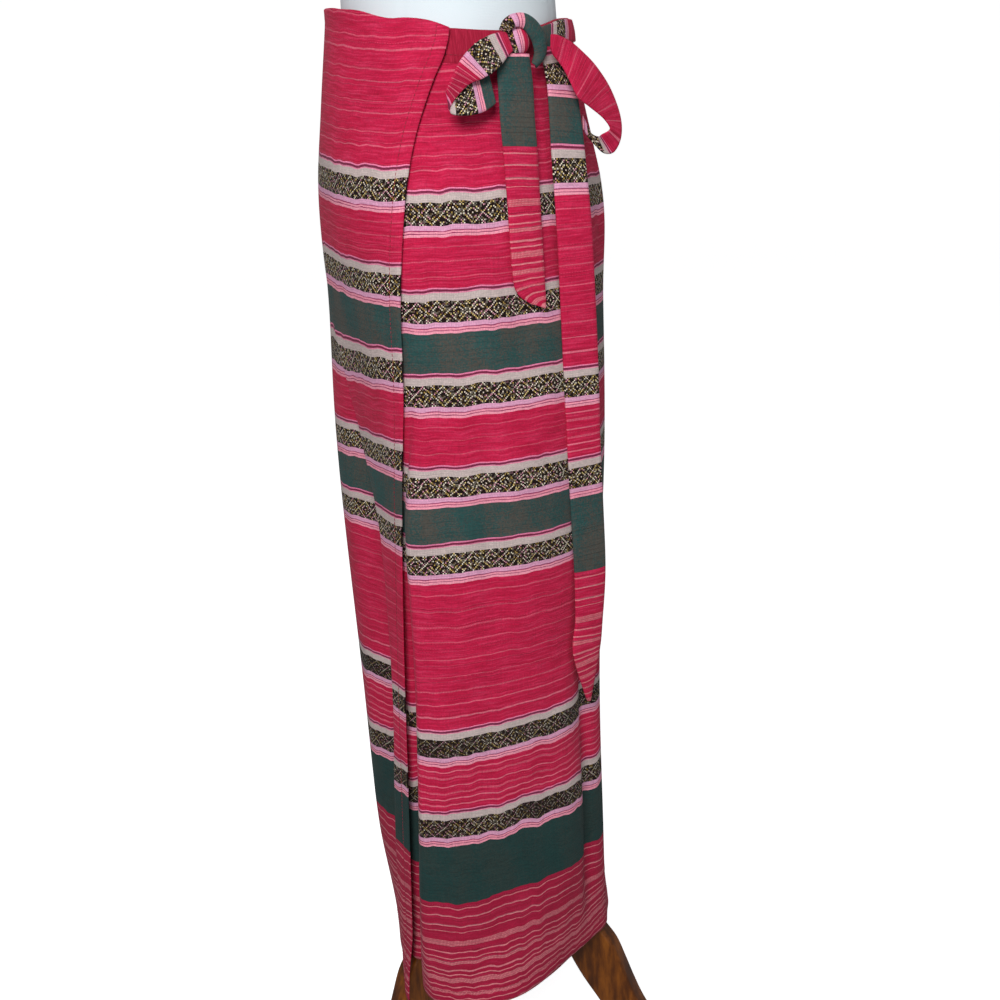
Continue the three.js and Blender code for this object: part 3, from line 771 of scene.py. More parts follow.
@dataclass(frozen=True)
class Hardwood:
    """Dark varnished hardwood; the grain runs along the given axis."""

    name: str
    stretch: tuple[float, float, float]

    def make(self) -> bpy.types.Material:
        """Build the material."""
        desk = Desk(self.name)
        scaled = desk.node("ShaderNodeVectorMath")
        scaled.operation = "MULTIPLY"
        desk.put(scaled.inputs[0], desk.place())
        scaled.inputs[1].default_value = self.stretch
        grain = desk.noise(scaled.outputs[0], 1.0, 6.0, 0.62)
        fine = desk.noise(scaled.outputs[0], 5.0, 4.0, 0.6)
        mixed = desk.calc("ADD", desk.calc("MULTIPLY", grain, 0.75), desk.calc("MULTIPLY", fine, 0.25))
        colour = desk.ramp(
            mixed,
            [
                (0.3, srgb(40, 18, 3)),
                (0.46, srgb(92, 46, 8)),
                (0.58, srgb(134, 74, 16)),
                (0.72, srgb(160, 98, 30)),
            ],
            soft=True,
        )
        wear = desk.noise(desk.place(), 24.0, 3.0)
        desk.relief(fine, 0.0003, 0.25)
        desk.set(
            Base_Color=colour,
            Roughness=desk.calc("ADD", 0.34, desk.calc("MULTIPLY", wear, 0.18)),
            Specular_IOR_Level=0.3,
            Coat_Weight=0.12,
            Coat_Roughness=0.2,
        )
        return desk.material


@dataclass(frozen=True)
class BrushedSteel:
    """Brushed steel of the pole and its collar."""

    name: str = "brushed_steel"

    def make(self) -> bpy.types.Material:
        """Build the material."""
        desk = Desk(self.name)
        scaled = desk.node("ShaderNodeVectorMath")
        scaled.operation = "MULTIPLY"
        desk.put(scaled.inputs[0], desk.place())
        scaled.inputs[1].default_value = (60.0, 60.0, 2400.0)
        brush = desk.noise(scaled.outputs[0], 1.0, 3.0)
        colour = desk.ramp(brush, [(0.3, srgb(120, 122, 124)), (0.7, srgb(176, 178, 180))], soft=True)
        desk.relief(brush, 0.0001, 0.2)
        desk.set(Base_Color=colour, Metallic=1.0, Roughness=desk.plus(0.24, brush, 0.2))
        return desk.material


# ---- the skirt's shape ---------------------------------------------------------------


@dataclass(frozen=True)
class Crease:
    """A soft ridge or groove: bearing, drop, half widths in degrees and mm, depth, and lean."""

    bearing: float
    drop: float
    wide: float
    tall: float
    depth: float
    lean: float = 0.0

    def at(self, bearing: Array, drop: Array) -> Array:
        """Return how far the cloth moves out at each place, in millimetres."""
        middle = self.bearing + self.lean * (drop - self.drop)
        return self.depth * bump(bearing - middle, self.wide) * bump(drop - self.drop, self.tall)


@dataclass
class SkirtShape:
    """Radii of the worn skirt by bearing and drop below the waist edge, in millimetres."""

    hem_height: float = 165.0
    length: float = 975.0
    cloth: float = 1.6
    band_cloth: float = 2.2
    band_depth: float = 28.0
    seam_gap: float = 0.7
    lap: float = 4.5
    front_start: float = -95.0
    wrap_end: float = 268.0
    band_end: float = 112.0
    band_top_bearing: tuple[float, ...] = (-95, -60, -30, 0, 10, 20, 30, 41, 50, 60, 69, 76, 86, 96, 112)
    band_top_fall: tuple[float, ...] = (0, 3, 5.5, 7.5, 9, 13, 16.5, 18, 18, 16.5, 14.5, 12.5, 9.5, 7, 4)
    wrap_top_bearing: tuple[float, ...] = (
        66, 69, 75, 80, 86, 91, 96, 101, 106, 111, 120, 130, 150, 185, 230, 268,
    )
    wrap_top_fall: tuple[float, ...] = (15, 13, 8, 5.5, 4, 4, 2, -1, -4, -6, -8, -10.5, -12, -10, -5, 0)
    wrap_hem_bearing: tuple[float, ...] = (108, 111, 113.5, 116, 120, 128, 140, 155, 185, 220, 268)
    wrap_hem_fall: tuple[float, ...] = (44, 40, 30, 20, 14, 10, 8, 6, 3, 0, 0)
    flare_from: float = 930.0
    flare_tall: float = 85.0
    flare_wide: float = 7.0
    flare_out: float = 10.0
    drops: tuple[float, ...] = (0, 75, 155, 275, 445, 665, 855, 975)
    front_bearings: tuple[float, ...] = (-95, -60, -35, -10, 15, 35, 50, 65, 80, 90)
    front_radii: tuple[tuple[float, ...], ...] = (
        (122, 119, 114, 112, 113, 116, 118, 121, 122, 122),
        (143, 136, 128, 123, 125, 131, 136, 140, 142, 142),
        (168, 157, 143, 137, 140, 149, 157, 163, 167, 167),
        (173, 160, 144, 139, 144, 156, 163, 167, 171, 172),
        (179, 162, 142, 136, 145, 161, 167, 171, 180, 186),
        (179, 154, 127, 122, 137, 151, 158, 167, 183, 188),
        (180, 152, 124, 120, 137, 150, 154, 167, 186, 189),
        (179, 153, 129, 128, 131, 138, 155, 179, 190, 190),
    )
    wrap_bearings: tuple[float, ...] = (66, 85, 95, 105, 115, 128, 140, 152, 166, 185, 210, 238, 256, 268)
    wrap_radii: tuple[tuple[float, ...], ...] = (
        (126, 127, 126, 124, 122, 120, 118, 117, 116, 115, 116, 120, 123.5, 126),
        (146, 147, 145, 142, 139, 134, 130, 127, 125, 124, 127, 135, 144.5, 147),
        (167, 171, 167, 160, 152, 143, 139, 137, 137, 135, 138, 152, 168, 172),
        (172, 177, 168, 156, 146, 139, 138, 138, 140, 136, 140, 156, 173, 177),
        (184, 176, 163, 148, 138, 131, 136, 140, 142, 137, 139, 156, 178, 183),
        (180, 166, 158, 148, 140, 130, 130, 134, 137, 126, 128, 150, 177, 183),
        (176, 162, 156, 149, 143, 135, 132, 131, 129, 115, 120, 146, 178, 184),
        (174, 160, 156, 151, 144, 132, 122, 117, 112, 106, 114, 144, 177, 183),
    )
    edge_drop: tuple[float, ...] = (
        0, 20, 30, 40, 52, 70, 92, 115, 155, 242, 332, 425, 530, 630, 740, 860, 975,
    )
    edge_bearing: tuple[float, ...] = (
        67.6, 68.6, 69.8, 71.4, 74, 77, 80, 82, 84, 87, 88.5, 92.5, 97, 100.5, 103.5, 106.5, 109,
    )
    fold_drop: tuple[float, ...] = (160, 275, 400, 470, 540, 665, 760, 860, 975)
    fold_bearing: tuple[float, ...] = (150, 138, 120, 112, 110, 111, 115, 118, 118)
    fold_depth: tuple[float, ...] = (0, 4, 9, 12, 16, 26, 24, 14, 3)
    corner_drop: tuple[float, ...] = (0, 330, 430, 530, 640, 755, 870, 940, 975)
    corner_bearing: tuple[float, ...] = (60, 78, 87, 88.5, 89, 90.4, 91.8, 91, 88.5)
    corner_turn: tuple[float, ...] = (14, 12, 6, 6, 7, 8, 11, 16, 22)
    main_creases: tuple[Crease, ...] = (
        Crease(51, 270, 5, 70, -3),
        Crease(65, 490, 4.5, 90, -4),
        Crease(-12, 185, 5, 55, 4),
    )
    front_creases: tuple[Crease, ...] = (
        Crease(58, 92, 14, 7, -0.9, -0.04),
        Crease(66, 128, 11, 5, -0.7),
        Crease(47, 262, 4, 26, -1.1, 0.02),
        Crease(70, 205, 13, 5, 0.7),
        Crease(72, 262, 9, 6, -0.8),
        Crease(33, 300, 5, 34, 0.9, -0.03),
        Crease(63, 352, 12, 5, 0.7),
        Crease(44, 392, 3.5, 22, -0.9),
        Crease(72, 420, 10, 6, 0.8),
        Crease(56, 452, 3.5, 30, -0.9, 0.03),
        Crease(50, 548, 16, 6, -0.7),
        Crease(62, 590, 12, 5, 0.8),
        Crease(40, 615, 9, 6, -0.8),
        Crease(70, 640, 8, 7, 0.9),
        Crease(38, 668, 3, 46, 1.3, 0.02),
        Crease(58, 712, 11, 5, -0.9),
        Crease(47, 738, 3, 40, -1.2, -0.02),
        Crease(30, 690, 3, 60, -1.4, 0.01),
        Crease(66, 770, 4, 40, 1.0, 0.03),
        Crease(52, 905, 3.5, 44, 1.4, 0.02),
        Crease(73, 930, 4, 40, -1.3),
        Crease(34, 920, 3.5, 44, -1.3, -0.02),
        Crease(-14, 800, 4, 130, 1.6, 0.01),
        Crease(-30, 420, 6, 60, -1.0, 0.03),
        Crease(-48, 610, 7, 9, 0.9),
        Crease(-66, 300, 6, 70, 1.1, 0.02),
        Crease(-40, 870, 4, 60, -1.3),
        Crease(-2, 330, 5, 40, -0.8),
    )
    wrap_creases: tuple[Crease, ...] = (
        Crease(100, 62, 14, 5, 0.8, 0.1),
        Crease(112, 96, 16, 6, -0.9, 0.08),
        Crease(130, 132, 12, 5, 0.7),
        Crease(104, 218, 5, 30, -0.9, 0.03),
        Crease(134, 262, 11, 6, 0.8),
        Crease(120, 340, 6, 34, -1.0, 0.05),
        Crease(142, 392, 9, 6, 0.9),
        Crease(131, 520, 6, 50, 1.1, -0.03),
        Crease(124, 612, 9, 6, -0.9),
        Crease(138, 690, 5, 60, -1.2, 0.02),
        Crease(127, 820, 5, 60, 1.3, -0.02),
        Crease(146, 905, 5, 44, -1.3),
        Crease(172, 160, 12, 7, -0.9, 0.1),
        Crease(196, 250, 7, 60, 1.0, 0.04),
        Crease(218, 420, 6, 70, -1.1, -0.03),
        Crease(186, 560, 11, 8, 0.9),
        Crease(240, 640, 6, 60, 1.1, 0.03),
        Crease(204, 880, 5, 70, -1.3, 0.01),
        Crease(252, 330, 8, 9, -0.9),
    )
    axis: tuple[float, float] = field(init=False)

    def __post_init__(self) -> None:
        """Find the upright axis of the form from its pole."""
        low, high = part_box("pole")
        self.axis = ((low.x + high.x) / 2 / MM, (low.y + high.y) / 2 / MM)

    @property
    def waist(self) -> float:
        """Return the height of the waist edge."""
        return self.hem_height + self.length

    def table(self, bearings: Sequence[float], rows: Sequence[Sequence[float]], b: Array, d: Array) -> Array:
        """Read a table of radii at bearings b and drops d."""
        columns = np.stack([cubic(bearings, row, b) for row in rows])
        return cubic(self.drops, columns, d)

    def edge(self, d: Array) -> Array:
        """Return the bearing of the wrap's free edge at each drop."""
        return cubic(self.edge_drop, self.edge_bearing, d)

    def fold(self, d: Array) -> Array:
        """Return the bearing of the wrap's deep fold at each drop."""
        return cubic(self.fold_drop, self.fold_bearing, d)

    def wrap_radius(self, b: Array, d: Array) -> Array:
        """Return the radius of the outer wrap."""
        r = self.table(self.wrap_bearings, self.wrap_radii, b, d)
        u = b - self.fold(d)
        deep = cubic(self.fold_drop, self.fold_depth, d) * smooth((u + 1) / 6) * (1 - smooth((u - 5) / 30))
        r = r - np.where(d > self.fold_drop[0], deep, 0.0)
        back = smooth((b - 172) / 20) * (1 - smooth((b - 240) / 20)) * smooth((d - 250) / 500)
        flare = smooth((d - self.flare_from) / self.flare_tall) * bump(b - self.edge(d), self.flare_wide)
        return r + 4.5 * back * np.sin(np.radians((b - 172) * 11)) + self.flare_out * flare

    def front_radius(self, b: Array, d: Array) -> Array:
        """Return the radius of the under panel."""
        corner = cubic(self.corner_drop, self.corner_bearing, d)
        turn = cubic(self.corner_drop, self.corner_turn, d)
        r = self.table(self.front_bearings, self.front_radii, np.minimum(b, 90), d)
        wrap = self.wrap_radius(np.maximum(b, 66), d)
        under = wrap - self.lap - 7 * smooth((d - 200) / 700)
        u = smooth((b - corner) / turn)
        turned = r * (1 - u) + under * u
        turned = np.where(b > self.edge(d) - 3, np.minimum(turned, self.wrap_radius(b, d) - self.lap), turned)
        r = np.where(b > corner, turned, r)
        low = smooth((d - 500) / 120)
        r = r - 11 * low * (1 - smooth((d - 860) / 110)) * bump(b - 21, 5.5)
        r = r + 5 * low * bump(b - 6, 8)
        for crease in self.main_creases:
            r = r + crease.at(b, d)
        left = smooth((-20 - b) / 20) * (1 - smooth((-72 - b) / 14)) * smooth((d - 250) / 500)
        return r + 4 * left * np.sin(np.radians((b + 20) * 12))

    def band_top(self, b: Array) -> Array:
        """Return how far the waistband's upper edge lies below the waist line."""
        return cubic(self.band_top_bearing, self.band_top_fall, b)

    def front_drop(self, b: Array, share: Array) -> Array:
        """Return drops on the under panel, from its seam at share 0 to its hem at share 1."""
        top = self.band_top(b) + self.band_depth + self.seam_gap
        return top + (self.length - top) * share

    def wrap_drop(self, b: Array, share: Array) -> Array:
        """Return drops on the outer wrap, from its upper edge at share 0 to its hem at share 1."""
        top = cubic(self.wrap_top_bearing, self.wrap_top_fall, b)
        bottom = self.length + cubic(self.wrap_hem_bearing, self.wrap_hem_fall, b)
        return top + (bottom - top) * share

    def point(self, b: Array, r: Array, z: Array) -> Array:
        """Return points from bearing, radius and height, in metres."""
        angle = np.radians(b)
        x = self.axis[0] - r * np.sin(angle)
        y = self.axis[1] - r * np.cos(angle)
        return np.stack([x, y, np.broadcast_to(z, x.shape)], axis=-1) * MM

    def place(self, b: float, r: float, z: float) -> Array:
        """Return one point from bearing, radius and height, in metres."""
        return self.point(np.array([b], float), np.array([r], float), np.array([z], float))[0]


@dataclass
class Wall:
    """A cloth wall of even thickness round a grid of middle points, with rounded rims."""

    name: str
    grid: Array
    uv: Array
    thickness: float
    outer: Array = field(init=False)
    normal: Array = field(init=False)

    def __post_init__(self) -> None:
        """Find the outward normals and the outer face."""
        across = np.gradient(self.grid, axis=1)
        down = np.gradient(self.grid, axis=0)
        normal = np.cross(down, across)
        normal /= np.linalg.norm(normal, axis=2, keepdims=True) + 1e-12
        self.normal = normal
        self.outer = self.grid + normal * self.thickness * MM / 2

    def area(self) -> float:
        """Return the area of the middle face, in square metres."""
        across = np.diff(self.grid, axis=1)[:-1]
        down = np.diff(self.grid, axis=0)[:, :-1]
        return float(np.linalg.norm(np.cross(across, down), axis=2).sum())

    def build(self, material: bpy.types.Material) -> bpy.types.Object:
        """Make the piece."""
        rows, cols = self.grid.shape[:2]
        half = self.thickness * MM / 2
        inner = self.grid - self.normal * half
        number = np.arange(rows * cols).reshape(rows, cols)
        ring = np.concatenate([number[0, :-1], number[:-1, -1], number[-1, :0:-1], number[:0:-1, 0]])
        flat = self.grid.reshape(-1, 3)
        edge_in = np.concatenate([number[1, :-1], number[:-1, -2], number[-2, :0:-1], number[:0:-1, 1]])
        push = flat[ring] - flat[edge_in]
        push /= np.linalg.norm(push, axis=1, keepdims=True) + 1e-12
        rim = flat[ring] + push * half * 0.8
        vertices = np.concatenate([self.outer.reshape(-1, 3), inner.reshape(-1, 3), rim])
        uv = self.uv.reshape(-1, 2)
        chart = np.concatenate([uv, uv, uv[ring]])
        count = rows * cols
        a = number[:-1, :-1].ravel()
        b = number[:-1, 1:].ravel()
        c = number[1:, 1:].ravel()
        d = number[1:, :-1].ravel()
        front = np.stack([a, d, c, b], axis=1)
        back = np.stack([a, b, c, d], axis=1) + count
        after = np.roll(np.arange(ring.size), -1)
        rims = np.arange(ring.size) + 2 * count
        upper = np.stack([ring, ring[after], rims[after], rims], axis=1)
        lower = np.stack([rims, rims[after], ring[after] + count, ring + count], axis=1)
        faces = np.concatenate([front, back, upper, lower])
        return make_piece(self.name, vertices, faces.tolist(), material, chart)


@dataclass
class Stitches:
    """Rows of sewing stitches that lie on a cloth face."""

    length: float = 3.0
    gap: float = 1.1
    radius: float = 0.3
    sides: int = 5

    def build(
        self, name: str, lines: Sequence[tuple[Array, Array]], material: bpy.types.Material
    ) -> bpy.types.Object:
        """Make one piece of all stitches along the lines.

        Args:
            name: piece name.
            lines: points and outward normals of each row, in metres.
            material: thread finish.

        Returns:
            The stitches' piece.
        """
        profile = (
            (0.0, -0.35, 0.5), (0.12, 0.55, 0.9), (0.5, 0.9, 1.0), (0.88, 0.55, 0.9), (1.0, -0.35, 0.5),
        )
        vertices: list[Array] = []
        faces: list[tuple[int, ...]] = []
        for points, normals in lines:
            run = travelled(points) / MM
            start = self.gap
            while start + self.length < run[-1]:
                base = len(vertices) * self.sides
                for share, lift, wide in profile:
                    at = start + self.length * share
                    centre = np.array([np.interp(at, run, points[:, k]) for k in range(3)])
                    ahead = np.array([np.interp(at + 0.4, run, points[:, k]) for k in range(3)]) - centre
                    ahead /= np.linalg.norm(ahead) + 1e-12
                    out = np.array([np.interp(at, run, normals[:, k]) for k in range(3)])
                    out /= np.linalg.norm(out) + 1e-12
                    side = np.cross(ahead, out)
                    centre = centre + out * self.radius * lift * MM
                    angle = np.arange(self.sides) * 2 * math.pi / self.sides
                    circle = np.outer(np.cos(angle), out) + np.outer(np.sin(angle), side)
                    vertices.append(centre + circle * self.radius * wide * MM)
                for k in range(len(profile) - 1):
                    for j in range(self.sides):
                        n = (j + 1) % self.sides
                        low = base + k * self.sides
                        high = low + self.sides
                        faces.append((low + j, low + n, high + n, high + j))
                last = base + (len(profile) - 1) * self.sides
                faces.append(tuple(base + j for j in reversed(range(self.sides))))
                faces.append(tuple(last + j for j in range(self.sides)))
                start += self.length + self.gap
        return make_piece(name, np.concatenate(vertices), faces, material)


def stitch_line(wall: Wall, inset: float, from_edge: bool) -> tuple[Array, Array]:
    """Find a line on a wall's outer face at an even distance from its first column or last row.

    Args:
        wall: the cloth wall.
        inset: distance in millimetres.
        from_edge: True to follow the first column, False to follow the last row.

    Returns:
        The line's points and normals.
    """
    if not from_edge:
        tall = np.linalg.norm(np.diff(wall.grid[:, wall.grid.shape[1] // 2], axis=0), axis=1)
        back = np.cumsum(tall[::-1]) / MM
        row = wall.grid.shape[0] - 2 - int(np.searchsorted(back, inset))
        return wall.outer[row], wall.normal[row]
    points, normals = [], []
    for line, normal in zip(wall.outer, wall.normal):
        run = travelled(line) / MM
        points.append([np.interp(inset, run, line[:, k]) for k in range(3)])
        normals.append([np.interp(inset, run, normal[:, k]) for k in range(3)])
    return np.array(points), np.array(normals)


# ---- sub-assemblies ------------------------------------------------------------------


@dataclass
class SkirtPanels:
    """The under panel, the outer wrap and the waistband."""

    shape: SkirtShape
    row_step: float = 5.5
    wrap_chart_drop: tuple[float, ...] = (-12, 60, 150, 240, 325, 410, 490, 665, 755, 1020)
    wrap_chart_ahead: tuple[float, ...] = (18, 20, 22, 25, 23, 23, 18, 22, 22, 20)
    wrap_chart_turned: tuple[float, ...] = (15, 14, 11, 8, -6, -4, 3, 9, 8, 6)
    facing: float = 11.0
    hem: float = 14.0
    gap_deep: float = 14.0
    gap_before: float = 4.5
    gap_wide: float = 4.2
    gap_from: float = 480.0
    finish: BandedCloth = field(default_factory=BandedCloth)

    def rows(self) -> Array:
        """Return the share of the length at every grid row, from 0 at the top to 1 at the hem."""
        return np.linspace(0.0, 1.0, int(self.shape.length / self.row_step) + 1)

    def spread(self, marks: Sequence[Array], counts: Sequence[int]) -> Array:
        """Return column bearings, row by row, between moving marks.

        Args:
            marks: bearing of each mark, one per row.
            counts: columns between each pair of marks.

        Returns:
            Bearings, one row of the grid each.
        """
        parts = []
        for low, high, count in zip(marks[:-1], marks[1:], counts):
            share = np.arange(count) / count
            parts.append(low[:, None] + (high - low)[:, None] * share)
        parts.append(marks[-1][:, None])
        return np.concatenate(parts, axis=1)

    def chart(self, grid: Array, along: Array, zero: Array) -> Array:
        """Lay a grid out on the cloth's chart.

        Args:
            grid: points, row by row, in metres.
            along: place of each point along the cloth, in millimetres.
            zero: the column of each row that lies on the chart's zero line.

        Returns:
            Chart positions across and along, in metres.
        """
        steps = np.linalg.norm(np.diff(grid[:, :, :2], axis=1), axis=2)
        run = np.concatenate([np.zeros((grid.shape[0], 1)), np.cumsum(steps, axis=1)], axis=1)
        run -= run[np.arange(grid.shape[0]), zero][:, None]
        return np.stack([run, along * MM], axis=2)

    def seam_relief(self, inset: Array, width: float) -> Array:
        """Return the fullness of a sewn turning: raised inside its stitches, sunk along them."""
        return 0.35 * (1 - smooth((inset - width + 2) / 3)) - 0.45 * bump(inset - width, 1.6)

    def front(self) -> Wall:
        """Build the under panel's wall."""
        shape = self.shape
        share = self.rows()
        d = share * shape.length
        corner = np.maximum(cubic(shape.corner_drop, shape.corner_bearing, d), 77)
        turn = cubic(shape.corner_drop, shape.corner_turn, d)
        fold = shape.fold(d)
        start = np.full_like(d, shape.front_start)
        near = np.minimum(corner + turn + 2, fold - 3)
        b = self.spread([start, corner - 6, near, fold - 2, fold + 7, fold + 16], [110, 22, 14, 10, 6])
        flat_b = b.ravel()
        drop = shape.front_drop(flat_b, np.repeat(share, b.shape[1]))
        r = shape.front_radius(flat_b, drop)
        for crease in shape.front_creases:
            r = r + crease.at(flat_b, drop)
        gap = bump(flat_b - shape.edge(drop) + self.gap_before, self.gap_wide)
        r = r - self.gap_deep * gap * smooth((drop - self.gap_from) / 160)
        r = r + self.seam_relief(shape.length - drop, self.hem) * (flat_b < 84)
        grid = shape.point(flat_b, r, shape.waist - drop).reshape(*b.shape, 3)
        zero = np.argmin(np.abs(b - 55), axis=1)
        uv = self.chart(grid, drop.reshape(b.shape), zero)
        return Wall("skirt_front", grid[:, ::-1], uv[:, ::-1], shape.cloth)

    def outer(self) -> Wall:
        """Build the outer wrap's wall."""
        shape = self.shape
        share = self.rows()
        d = share * shape.length
        edge = shape.edge(d)
        for _ in range(4):
            edge = shape.edge(shape.wrap_drop(edge, share))
        fold = shape.fold(d)
        end = np.full_like(d, shape.wrap_end)
        b = self.spread([edge, fold - 3, fold + 6, fold + 36, end], [36, 14, 22, 84])
        flat_b = b.ravel()
        drop = shape.wrap_drop(flat_b, np.repeat(share, b.shape[1]))
        r = shape.wrap_radius(flat_b, drop)
        for crease in shape.wrap_creases:
            r = r + crease.at(flat_b, drop)
        inset = np.radians(flat_b - np.repeat(edge, b.shape[1])) * r
        r = r + self.seam_relief(inset, self.facing)
        r = r + self.seam_relief((1 - np.repeat(share, b.shape[1])) * shape.length, self.hem)
        grid = shape.point(flat_b, r, shape.waist - drop).reshape(*b.shape, 3)
        zero = np.zeros(d.size, int)
        turned = smooth((flat_b - 84) / 66) * (1 - smooth((flat_b - 180) / 80))
        ahead = cubic(self.wrap_chart_drop, self.wrap_chart_ahead, drop)
        tilt = turned * cubic(self.wrap_chart_drop, self.wrap_chart_turned, drop)
        along = (drop + ahead + tilt).reshape(b.shape)
        return Wall("skirt_wrap", grid[:, ::-1], self.chart(grid, along, zero)[:, ::-1], shape.cloth)

    def band(self) -> Wall:
        """Build the waistband's wall."""
        shape = self.shape
        depth = np.linspace(0.0, shape.band_depth, 14)
        columns = np.linspace(shape.front_start, shape.band_end, 190)
        b = np.repeat(columns[None], depth.size, axis=0)
        low = np.repeat(depth[:, None], columns.size, axis=1)
        drop = shape.band_top(b.ravel()) + low.ravel()
        r = shape.front_radius(b.ravel(), drop)
        pucker = np.sin(np.radians(b.ravel() * 47)) + 0.6 * np.sin(np.radians(b.ravel() * 81 + 40))
        r = r - 0.5 * bump(low.ravel() - 23.5, 1.6) + 0.2 * pucker * bump(low.ravel() - 24, 6)
        grid = shape.point(b.ravel(), r, shape.waist - drop).reshape(*b.shape, 3)
        zero = np.full(depth.size, int(np.argmin(np.abs(columns - 55))))
        return Wall("waist_band", grid[:, ::-1], self.chart(grid, low, zero)[:, ::-1], shape.band_cloth)

    def build(self) -> list[bpy.types.Object]:
        """Make the panels, the band and their stitching."""
        cloth = self.finish.make()
        thread = SewingThread("red_thread", srgb(172, 36, 64)).make()
        front, outer, band = self.front(), self.outer(), self.band()
        made = [front.build(cloth), outer.build(cloth), band.build(PlainCloth().make())]
        for piece, node in zip(made, ("front_panel", "outer_panel", "waistband")):
            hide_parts(node)
        sewing = Stitches()
        edge_points, edge_inward = stitch_line(
            Wall("edge", outer.grid[:, ::-1], outer.uv, outer.thickness), self.facing, True
        )
        edge_line = (edge_points - outer.thickness * MM * edge_inward, -edge_inward)
        rows = [
            sewing.build("stitches_free_edge", [edge_line], thread),
            sewing.build("stitches_hem_wrap", [stitch_line(outer, self.hem, False)], thread),
            sewing.build("stitches_hem_front", [stitch_line(front, self.hem, False)], thread),
            sewing.build("stitches_waist_band", [stitch_line(band, 6.0, False)], thread),
        ]
        return made + rows


@dataclass(frozen=True)
class Strand:
    """One ribbon of the tie: its edge stations, its fullness and its places on the cloth's chart.

    The stations hold both edge points about the form's axis; a hanging strand holds the bearing,
    stand-off and drop of both edges instead. Each chart stop is a distance along the strand and the
    chart's place there, both in millimetres.
    """

    name: str
    stations: tuple[tuple[float, ...], ...]
    chart: tuple[tuple[float, float], ...]
    bulge: float = 0.0
    hangs: bool = False


KNOT_BAND = Strand(
    "knot_band",
    (
        (-97.5, -86.5, 1123, -98, -94, 1119.5), (-99.5, -91, 1129.5, -99.5, -98, 1123),
        (-97, -98, 1134, -98, -102.5, 1124.5), (-90, -106.5, 1134.5, -93, -107, 1122.5),
        (-83, -114, 1129, -91, -111, 1117), (-76.5, -119, 1119, -87, -113, 1110.5),
        (-74, -120.5, 1106.5, -86, -114, 1103), (-77, -118.5, 1097, -86.5, -113, 1098),
        (-85, -114, 1090, -88.5, -112, 1094),
    ),
    ((0, 760), (7, 774), (14, 781), (23, 789), (70, 836)),
    bulge=2.5,
)
SMALL_LOOP = Strand(
    "bow_loop_small",
    (
        (-97, -91.9, 1120, -100, -98, 1105), (-108, -87, 1119, -109, -96, 1100),
        (-120, -82, 1116, -119, -94, 1094), (-134, -76, 1110, -130, -90, 1088),
        (-149, -69, 1098, -138, -83, 1083), (-159, -64, 1084, -145, -72, 1078),
        (-163, -60, 1074, -158, -62, 1064), (-153, -59, 1077, -160, -62, 1056),
        (-141, -66, 1082, -153, -74, 1054), (-129, -73, 1088, -139, -83, 1056),
        (-117, -80, 1092, -127, -90, 1062),
    ),
    ((0, 646), (9, 658), (23, 669.6), (46, 688.4), (56, 698.5), (84, 745), (86, 748), (96, 759.6),
     (115, 778.4), (124, 788.5), (136, 800)),
)
LARGE_LOOP = Strand(
    "bow_loop_large",
    (
        (-74, -125.5, 1116.5, -73.5, -124.5, 1105.5), (-69, -130, 1115.5, -71, -126, 1100),
        (-58, -136.5, 1111, -64.5, -131.5, 1090.5), (-46.5, -144, 1102.5, -64.5, -138.5, 1077.5),
        (-34.5, -154, 1088.5, -62.5, -145, 1063.5), (-22.5, -163.5, 1068.5, -50, -152, 1054.5),
        (-15, -170, 1044.5, -36, -161, 1043.5), (-15.5, -170.5, 1026, -30, -165, 1034),
        (-19.5, -165, 1013.5, -30.5, -157.5, 1029), (-24, -156, 1013, -28.5, -152.5, 1027),
        (-29.5, -147, 1023.5, -29, -145.5, 1031.5), (-35, -140.5, 1035, -32, -139.5, 1046.5),
    ),
    ((0, 540), (118, 652), (121, 658), (126, 669.6), (146, 688.4), (155, 696)),
)
SHORT_TAIL = Strand(
    "tie_tail_short",
    (
        (51.6, 12.9, 38.3, 38.6, 14, 38.3), (52.1, 11, 67, 38.6, 12.5, 66), (52.6, 10, 92, 39.7, 11, 92),
        (52.7, 7.2, 117, 40.2, 8, 119), (52.9, 5, 159, 41.2, 5, 166), (52.8, 4, 195, 41.4, 4.4, 206),
        (52.4, 4.4, 228, 41.5, 5, 236), (50.8, 4.6, 243, 41.6, 5.6, 250), (46.8, 5, 252, 41.9, 6, 257.5),
    ),
    ((0, 786), (3, 789), (79, 853), (222, 996)),
    bulge=1.0,
    hangs=True,
)
LONG_TAIL = Strand(
    "tie_tail_long",
    (
        (31.6, 11, 33, 15.2, 13, 34), (30.1, 10.5, 61, 15.8, 17, 62), (31.5, 9.8, 91, 18.1, 19.5, 94),
        (33.3, 8.1, 121, 20.7, 20.5, 125), (34.8, 7, 181, 23.4, 23.5, 186), (34.4, 4.2, 253, 23.1, 23, 257),
        (34.3, 2.2, 328, 22.9, 22, 332), (34.4, 2.0, 395, 22.7, 20.5, 401), (33.9, 2.2, 455, 22.3, 22, 462),
        (33, 4.5, 518, 21.3, 24.6, 526), (33, 6.5, 571, 21.7, 29, 581), (34.2, 6.7, 608, 22.4, 29, 612),
        (26.2, 13, 668, 24.6, 17, 670),
    ),
    ((0, 391), (14, 404.6), (33, 423.4), (45, 433.5), (87, 467.3), (132, 507.8), (287, 658), (326, 698.5),
     (374, 748), (415, 788.5), (493, 853), (642, 992)),
    bulge=1.0,
    hangs=True,
)


